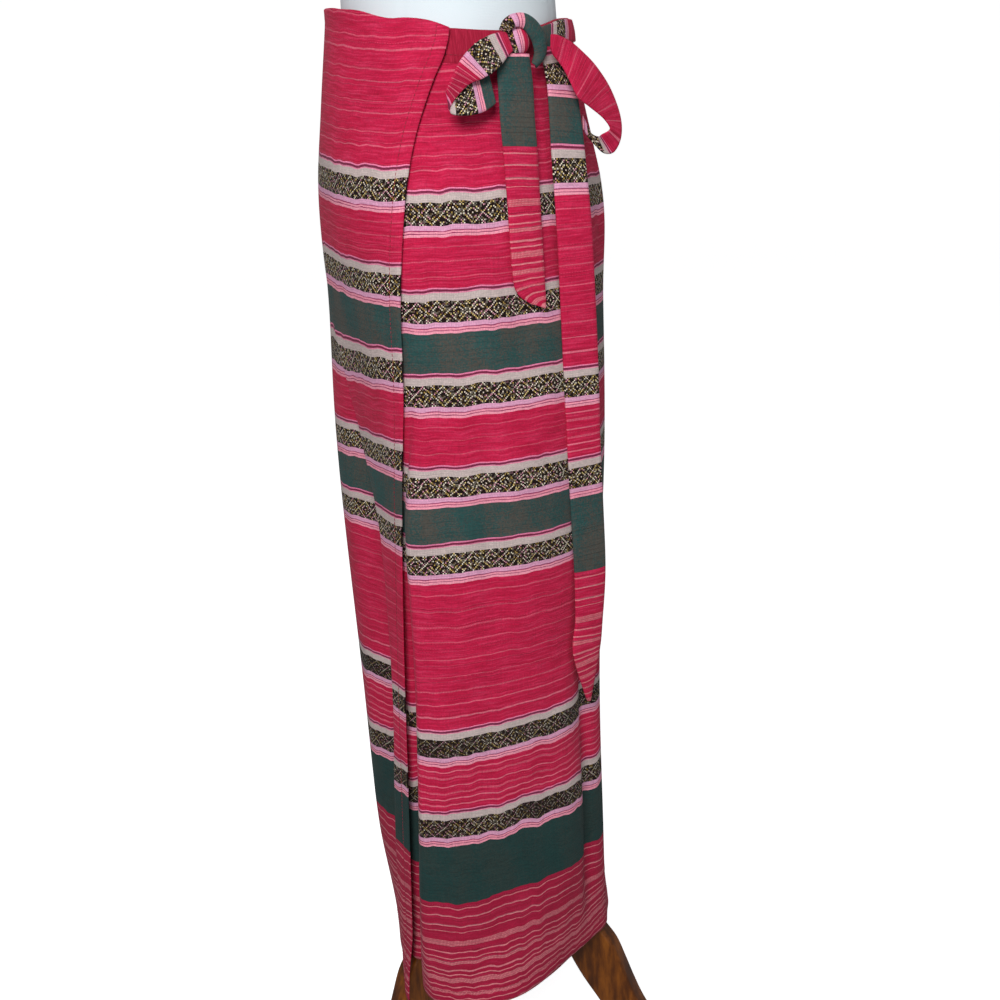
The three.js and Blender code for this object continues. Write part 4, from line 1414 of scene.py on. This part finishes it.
@dataclass
class TieAndBow:
    """The doubled tie: its run along the waist, the knot, two loops and two tails."""

    shape: SkirtShape
    cloth: float = 2.0
    width: float = 19.0
    waist_below: float = 1.0
    waist_from: float = -86.0
    waist_to: float = 30.0
    waist_off: float = 2.7
    waist_chart: float = 440.0
    knot_bearing: float = 41.5
    knot_drop: float = 26.0
    knot_off: float = 10.6
    knot_across: float = 10.5
    knot_deep: float = 8.3
    knot_tall: float = 14.0
    knot_chart: tuple[float, float] = (684.0, 26.0)
    cut_from: float = 2000.0
    rows_each: int = 9
    columns: int = 10

    def ribbon(self, strand: Strand) -> Wall:
        """Build one doubled ribbon between its two edge lines.

        Args:
            strand: its stations and chart stops.

        Returns:
            The ribbon's wall.
        """
        stations = self.hung(strand.stations) if strand.hangs else np.asarray(strand.stations, float)
        count = self.rows_each * (len(stations) - 1)
        t = np.linspace(0, len(stations) - 1, count + 1)
        keys = np.arange(len(stations))
        edges = np.stack([cubic(keys, stations[:, k], t) for k in range(6)], axis=1)
        a, b = edges[:, :3], edges[:, 3:]
        out = (a + b) / 2
        out[:, 2] = 0.0
        out /= np.linalg.norm(out, axis=1, keepdims=True)
        u = np.linspace(0, 1, self.columns + 1)
        fold = 0.35 * np.exp(-((u / 0.12) ** 2)) + 0.35 * np.exp(-(((1 - u) / 0.12) ** 2))
        grid = a[:, None] + (b - a)[:, None] * u[None, :, None]
        lift = strand.bulge * 4 * u * (1 - u) - fold * (strand.bulge > 0)
        grid = grid + out[:, None] * lift[None, :, None]
        run = travelled((a + b) / 2)
        stops = np.asarray(strand.chart, float)
        ahead = np.gradient((a + b) / 2, axis=0)
        ahead /= np.linalg.norm(ahead, axis=1, keepdims=True)
        lead = (grid - ((a + b) / 2)[:, None]) @ ahead[:, :, None]
        travel = run[:, None] + lead[:, :, 0] * strand.hangs
        along = np.interp(travel, stops[:, 0], stops[:, 1])
        width = np.linalg.norm(b - a, axis=1)
        uv = np.stack([np.outer(width, u) + self.cut_from, along], axis=2)
        axis = np.array([self.shape.axis[0], self.shape.axis[1], 0.0])
        return Wall(strand.name, (grid + axis) * MM, uv * MM, self.cloth)

    def hung(self, rows: Sequence[Sequence[float]]) -> Array:
        """Turn bearing, stand-off and drop of both tail edges into points about the axis."""
        table = np.asarray(rows, float)
        parts = []
        for k in (0, 3):
            b, off, d = table[:, k], table[:, k + 1], table[:, k + 2]
            r = self.shape.front_radius(b, d) + off
            angle = np.radians(b)
            parts.append(np.stack([-r * np.sin(angle), -r * np.cos(angle), self.shape.waist - d], axis=1))
        return np.concatenate(parts, axis=1)

    def waist_run(self) -> Wall:
        """Build the stretch that runs along the waistband."""
        shape = self.shape
        share = np.linspace(0, 1, 9)
        columns = np.linspace(self.waist_from, self.waist_to, 90)
        b = np.repeat(columns[None], share.size, axis=0)
        low = np.repeat(share[:, None], columns.size, axis=1)
        drop = shape.band_top(b.ravel()) + self.waist_below + self.width * low.ravel()
        swell = 0.8 * np.sin(math.pi * low.ravel())
        r = shape.front_radius(b.ravel(), drop) + self.waist_off + swell
        grid = shape.point(b.ravel(), r, shape.waist - drop).reshape(*b.shape, 3)
        run = travelled(grid[4])
        along = self.waist_chart * MM + run[-1] - run
        slant = low * 9 * MM
        uv = np.stack([(low * self.width + self.cut_from) * MM, along[None] + slant], axis=2)
        return Wall("tie_at_waist", grid[:, ::-1], uv[:, ::-1], self.cloth)

    def knot(self, material: bpy.types.Material) -> bpy.types.Object:
        """Make the gathered core of the knot."""
        shape = self.shape
        under = shape.front_radius(np.array([self.knot_bearing]), np.array([self.knot_drop]))
        r = float(under[0]) + self.knot_off
        centre = shape.place(self.knot_bearing, r, shape.waist - self.knot_drop)
        rings, sides = 28, 48
        lat = (np.arange(1, rings) / rings - 0.5) * math.pi
        a = np.arange(sides) * 2 * math.pi / sides
        lat, a = np.meshgrid(lat, a, indexing="ij")
        lobe = 1 + 0.05 * np.cos(3 * a + 2 * lat) + 0.012 * np.cos(17 * a + 5 * lat)
        across = self.knot_across * np.cos(lat) * np.cos(a) * lobe
        out = self.knot_deep * np.cos(lat) * np.sin(a) * lobe
        q = math.radians(self.knot_bearing)
        x = -across * math.cos(q) - out * math.sin(q)
        y = across * math.sin(q) - out * math.cos(q)
        z = self.knot_tall * np.sin(lat)
        body = np.stack([x, y, z], axis=2).reshape(-1, 3) * MM + centre
        tips = np.array([body[:sides].mean(axis=0), body[-sides:].mean(axis=0)])
        vertices = np.concatenate([body, tips])
        faces = []
        for i in range(rings - 2):
            for j in range(sides):
                n = (j + 1) % sides
                faces.append((i * sides + j, (i + 1) * sides + j, (i + 1) * sides + n, i * sides + n))
        last = (rings - 2) * sides
        for j in range(sides):
            n = (j + 1) % sides
            faces.append((body.shape[0], j, n))
            faces.append((body.shape[0] + 1, last + n, last + j))
        start, spread = self.knot_chart
        pleat = start + spread * (1 - np.cos(a)) / 2 + 5 * np.sin(lat)
        run = np.concatenate([pleat.ravel(), np.full(2, start)]) * MM
        over = (np.concatenate([z.ravel(), np.zeros(2)]) + self.cut_from) * MM
        return make_piece("knot", vertices, faces, material, np.stack([over, run], axis=1))

    def build(self, cloth: bpy.types.Material) -> list[bpy.types.Object]:
        """Make every part of the tie."""
        walls = {
            "tie_waist": self.waist_run(),
            "knot_wrap": self.ribbon(KNOT_BAND),
            "loop_small": self.ribbon(SMALL_LOOP),
            "loop_large": self.ribbon(LARGE_LOOP),
            "tail_short": self.ribbon(SHORT_TAIL),
            "tail_long": self.ribbon(LONG_TAIL),
        }
        made = []
        for node, wall in walls.items():
            piece = wall.build(cloth)
            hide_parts(node)
            made.append(piece)
        core = self.knot(cloth)
        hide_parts("knot_core")
        made.append(core)
        rests = ["waist_band", "knot", "knot", "knot", "knot", "knot"]
        for piece, wall, rest in zip(made, walls.values(), rests):
            sides = [float(travelled(wall.grid.mean(axis=k)).max()) for k in (0, 1)]
            long = max(sides)
            wall.area() / long
        return made


def lofted(rings: Array) -> tuple[Array, list[tuple[int, ...]]]:
    """Close a stack of rings into a solid.

    Args:
        rings: ring points, bottom ring first, each turning the same way.

    Returns:
        Vertices and faces.
    """
    count, sides = rings.shape[:2]
    vertices = rings.reshape(-1, 3)
    faces: list[tuple[int, ...]] = []
    for i in range(count - 1):
        for j in range(sides):
            n = (j + 1) % sides
            faces.append((i * sides + j, i * sides + n, (i + 1) * sides + n, (i + 1) * sides + j))
    faces.append(tuple(reversed(range(sides))))
    faces.append(tuple((count - 1) * sides + j for j in range(sides)))
    return vertices, faces


@dataclass
class DressForm:
    """The limbless torso in its jersey cover, with its turned neck cap and base plate."""

    shape: SkirtShape
    base: float = FORM_BASE
    top: float = 470.0
    rows: tuple[tuple[float, ...], ...] = (
        (-262, 96, 80, 84), (-256, 112, 92, 97), (-240, 124, 99, 104), (-200, 137, 107, 112),
        (-155, 146.4, 114.4, 118.4), (-110, 144.4, 114.4, 116.4), (-75, 132, 110, 111), (-40, 117, 103, 103),
        (-12, 110, 102, 101), (20, 108, 101, 100), (60, 112, 103, 99), (105, 122, 109, 101),
        (145, 133, 120, 104), (180, 143, 132, 106), (215, 149, 137, 106), (250, 151, 127, 105),
        (285, 153, 109, 104), (320, 156, 95, 101), (345, 154, 84, 96), (365, 143, 75, 88),
        (382, 118, 66, 77), (396, 88, 60, 67), (412, 66, 57, 61), (435, 58, 55, 57), (470, 56, 54, 55),
    )
    sides: int = 144
    seams: tuple[float, ...] = (0.0, 90.0, 180.0, 270.0)

    def torso(self, material: bpy.types.Material) -> bpy.types.Object:
        """Make the torso."""
        table = np.asarray(self.rows, float)
        heights = np.linspace(table[0, 0], table[-1, 0], 150)
        half = cubic(table[:, 0], table[:, 1], heights)
        fore = cubic(table[:, 0], table[:, 2], heights)
        aft = cubic(table[:, 0], table[:, 3], heights)
        turn = np.arange(self.sides) * 360.0 / self.sides
        groove = sum(bump((turn - s + 180) % 360 - 180, 0.9) for s in self.seams)
        q = np.radians(turn)[None]
        squeeze = 1 - 0.005 * groove[None]
        x = half[:, None] * np.cos(q) * squeeze
        depth = np.where(np.sin(q) > 0, aft[:, None], fore[:, None])
        y = depth * np.sin(q) * squeeze
        z = np.repeat((self.shape.waist + heights)[:, None], self.sides, axis=1)
        rings = np.stack([x + self.shape.axis[0], y + self.shape.axis[1], z], axis=2) * MM
        vertices, faces = lofted(rings)
        piece = make_piece("dress_form", vertices, faces, material)
        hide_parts("form_torso")
        return piece

    def build(self) -> list[bpy.types.Object]:
        """Make the torso, the neck cap and the base plate."""
        wood = Hardwood("turned_wood", TURNED_GRAIN).make()
        neck = self.shape.waist + self.top
        base = self.shape.waist - self.base
        cap = turned_piece(
            "neck_finial",
            self.shape,
            ((50, neck + 0.4), (53, neck + 2), (53.4, neck + 5), (53, neck + 9), (48, neck + 13),
             (30, neck + 14.6), (16, neck + 16), (13, neck + 22), (16, neck + 28), (12, neck + 35),
             (4, neck + 38)),
            wood,
        )
        plate = turned_piece(
            "base_plate",
            self.shape,
            ((72, base - 12.4), (73.6, base - 11.4), (74, base - 9), (74, base - 4), (73.6, base - 1.4),
             (72, base - 0.4)),
            wood,
        )
        for piece, node in ((cap, "neck_cap"), (plate, "form_plate")):
            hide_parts(node)
        return [self.torso(Jersey().make()), cap, plate]


def turned_piece(
    name: str, shape: SkirtShape, profile: Sequence[tuple[float, float]], material: bpy.types.Material
) -> bpy.types.Object:
    """Make a piece turned about the form's axis.

    Args:
        name: piece name.
        shape: gives the axis.
        profile: radius and height of each step, bottom first.
        material: its finish.

    Returns:
        The new piece.
    """
    table = np.asarray(profile, float)
    keys = travelled(table)
    at = np.linspace(0, keys[-1], max(40, 6 * len(profile)))
    radius = np.interp(at, keys, table[:, 0])
    height = np.interp(at, keys, table[:, 1])
    q = np.arange(80) * 2 * math.pi / 80
    x = shape.axis[0] + np.outer(radius, np.cos(q))
    y = shape.axis[1] + np.outer(radius, np.sin(q))
    z = np.repeat(height[:, None], q.size, axis=1)
    vertices, faces = lofted(np.stack([x, y, z], axis=2) * MM)
    return make_piece(name, vertices, faces, material)


@dataclass
class Stand:
    """The steel pole with its collar, the turned hub and three curved legs."""

    shape: SkirtShape
    pole_radius: float = 16.0
    hub_radius: float = 36.0
    hub_top: float = 330.0
    hub_base: float = 232.0
    leg_thick: float = 24.0
    leg_ease: float = 5.0
    leg_bearings: tuple[float, ...] = (0.0, 120.0, 240.0)
    leg_rows: tuple[tuple[float, float, float], ...] = (
        (0, 168, 222), (14, 158, 206), (38, 136, 186), (60, 121, 172), (85, 104, 161), (110, 90, 151.5),
        (135, 78, 141), (155, 69, 126), (175, 61, 114), (200, 53, 106.5), (225, 46, 96), (250, 39.5, 86),
        (275, 37.5, 73), (296, 37, 60), (308, 36.8, 48),
    )

    def leg(self, bearing: float, name: str, material: bpy.types.Material) -> bpy.types.Object:
        """Make one sawn and rounded leg.

        Args:
            bearing: where it points.
            name: piece name.
            material: its finish.

        Returns:
            The leg.
        """
        table = np.asarray(self.leg_rows, float)
        heights = np.linspace(table[0, 0], table[-1, 0], 72)
        inner = cubic(table[:, 0], table[:, 1], heights)
        outer = cubic(table[:, 0], table[:, 2], heights)
        q = math.radians(bearing)
        out = np.array([-math.sin(q), -math.cos(q), 0.0])
        side = np.array([math.cos(q), -math.sin(q), 0.0])
        axis = np.array([self.shape.axis[0], self.shape.axis[1], 0.0])
        half = self.leg_thick / 2
        rings = []
        for z, low, high in zip(heights, inner, outer):
            ease = min(self.leg_ease, (high - low) / 4)
            ring = []
            for reach, across, turn in (
                (low + ease, -half + ease, 180), (high - ease, -half + ease, 270),
                (high - ease, half - ease, 0), (low + ease, half - ease, 90),
            ):
                for step in range(6):
                    a = math.radians(turn + step * 18)
                    along = reach + ease * math.cos(a)
                    over = across + ease * math.sin(a)
                    ring.append(axis + out * along + side * over + np.array([0.0, 0.0, z]))
            rings.append(ring)
        vertices, faces = lofted(np.asarray(rings) * MM)
        return make_piece(name, vertices, faces, material)

    def build(self) -> list[bpy.types.Object]:
        """Make the stand's pieces."""
        steel = BrushedSteel().make()
        wood = Hardwood("turned_wood_hub", TURNED_GRAIN).make()
        legs_wood = Hardwood("sawn_wood", (46.0, 46.0, 9.0)).make()
        top, base = self.hub_top, self.hub_base
        plate = self.shape.waist - FORM_BASE
        steps = ((self.pole_radius, top + 30.4), (self.pole_radius, plate - 12.8))
        pole = turned_piece("steel_pole", self.shape, steps, steel)
        collar = turned_piece(
            "pole_collar", self.shape,
            ((24, top + 0.4), (25.6, top + 1.4), (26, top + 4), (26, top + 23), (24.6, top + 27),
             (22, top + 30)), steel,
        )
        hub = turned_piece(
            "turned_hub", self.shape,
            ((10, base - 26), (18, base - 20), (20, base - 10), (30, base), (35, base + 4),
             (self.hub_radius, base + 8), (self.hub_radius, top - 8), (34, top - 3), (28, top)), wood,
        )
        made = [pole, collar, hub]
        for piece, node, slot in zip(made, ("pole", "collar", "hub"), ("steel", "steel", "wood_dark")):
            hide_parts(node)
        for k, bearing in enumerate(self.leg_bearings, 1):
            leg = self.leg(bearing, f"stand_leg_{k}", legs_wood)
            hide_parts(f"leg_{k}")
            made.append(leg)
        return made


@dataclass
class Studio:
    """Pale floor, soft lights and the camera."""

    shape: SkirtShape
    bearing: float = 68.0
    distance: float = 1322.0
    height: float = 1073.0
    yaw: float = 1.1
    pitch: float = 17.5
    roll: float = 2.9
    lens: float = 46.8
    floor_glow: float = 0.78
    sky: float = 0.24
    key_power: float = 55.0
    fill_power: float = 5.0

    def camera(self) -> None:
        """Place the camera."""
        data = bpy.data.cameras.new("view")
        data.sensor_width = 36.0
        data.lens = self.lens
        data.clip_end = 50.0
        eye = self.shape.place(self.bearing, self.distance, self.height)
        look = math.radians(self.bearing)
        ahead = Vector((math.sin(look), math.cos(look), 0.0))
        ahead.rotate(Matrix.Rotation(math.radians(-self.yaw), 3, "Z"))
        down = math.radians(self.pitch)
        forward = (ahead * math.cos(down) + Vector((0, 0, -math.sin(down)))).normalized()
        right = forward.cross(Vector((0, 0, 1))).normalized()
        up = right.cross(forward)
        lean = math.radians(self.roll)
        side = right * math.cos(lean) - up * math.sin(lean)
        head = right * math.sin(lean) + up * math.cos(lean)
        turn = Matrix((side, head, -forward)).transposed().to_4x4()
        eye_object = bpy.data.objects.new("view", data)
        bpy.context.scene.collection.objects.link(eye_object)
        eye_object.matrix_world = Matrix.Translation(Vector(eye)) @ turn
        bpy.context.scene.camera = eye_object

    def light(
        self,
        name: str,
        bearing: float,
        reach: float,
        height: float,
        size: float,
        power: float,
        aim: float = 0.75,
    ) -> None:
        """Hang one soft light that faces the skirt.

        Args:
            name: light name.
            bearing: where it stands round the form, in degrees.
            reach: how far from the form, in metres.
            height: how high, in metres.
            size: width of its face, in metres.
            power: its power, in watts.
            aim: height that it faces, in metres.
        """
        data = bpy.data.lights.new(name, "AREA")
        data.size = size
        data.energy = power
        lamp = bpy.data.objects.new(name, data)
        q = math.radians(bearing)
        lamp.location = (-reach * math.sin(q), -reach * math.cos(q), height)
        way = Vector((0.0, 0.0, aim)) - Vector(lamp.location)
        lamp.rotation_euler = way.to_track_quat("-Z", "Y").to_euler()
        bpy.context.scene.collection.objects.link(lamp)

    def floor(self) -> None:
        """Lay the pale floor, swept up into a pale wall a long way off."""
        profile = ((0.0, 0.0), (7.0, 0.0), (8.2, 0.12), (9.1, 0.55), (9.7, 1.4), (10.0, 2.6), (10.0, 6.0))
        sides = 72
        vertices: list[tuple[float, float, float]] = [(0.0, 0.0, 0.0)]
        faces: list[tuple[int, ...]] = []
        for reach, height in profile[1:]:
            for k in range(sides):
                q = 2 * math.pi * k / sides
                vertices.append((reach * math.cos(q), reach * math.sin(q), height))
        for k in range(sides):
            n = (k + 1) % sides
            faces.append((0, 1 + k, 1 + n))
            for ring in range(len(profile) - 2):
                low = 1 + ring * sides
                high = low + sides
                faces.append((low + k, high + k, high + n, low + n))
        mesh = bpy.data.meshes.new("floor")
        mesh.from_pydata(vertices, [], faces)
        mesh.polygons.foreach_set("use_smooth", np.ones(len(mesh.polygons), bool))
        plane = bpy.data.objects.new("floor", mesh)
        bpy.context.scene.collection.objects.link(plane)
        desk = Desk("pale_floor")
        cloud = desk.noise(desk.place(), 1.5, 3.0)
        desk.set(
            Base_Color=desk.blend(cloud, (0.9, 0.9, 0.9), (0.87, 0.87, 0.87)),
            Roughness=0.9,
            Emission_Color=(1.0, 1.0, 1.0),
            Emission_Strength=self.floor_glow,
        )
        mesh.materials.append(desk.material)
        plane.visible_diffuse = False
        plane.visible_glossy = False

    def build(self) -> None:
        """Set up the studio."""
        self.floor()
        self.light("key", 78.0, 2.3, 2.15, 1.0, self.key_power, 0.84)
        self.light("fill", 20.0, 2.6, 1.5, 1.6, self.fill_power)
        self.light("rim", 235.0, 2.4, 2.2, 1.4, self.fill_power)
        world = bpy.data.worlds.new("studio")
        world.use_nodes = True
        world.node_tree.nodes["Background"].inputs[0].default_value = (0.97, 0.98, 1.0, 1.0)
        world.node_tree.nodes["Background"].inputs[1].default_value = self.sky
        bpy.context.scene.world = world
        bpy.context.scene.view_settings.view_transform = "Standard"
        self.camera()


def main() -> None:
    """Build the part and its studio, piece by piece."""
    logging.basicConfig(level=logging.INFO, format="%(message)s")
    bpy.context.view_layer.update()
    shape = SkirtShape()
    Studio(shape).build()
    panels = SkirtPanels(shape)
    made = panels.build()
    cloth = made[0].data.materials[0]
    made += TieAndBow(shape).build(cloth)
    made += DressForm(shape).build()
    made += Stand(shape).build()
    LOG.info("%d pieces made", len(made))


if __name__ == "__main__":
    main()
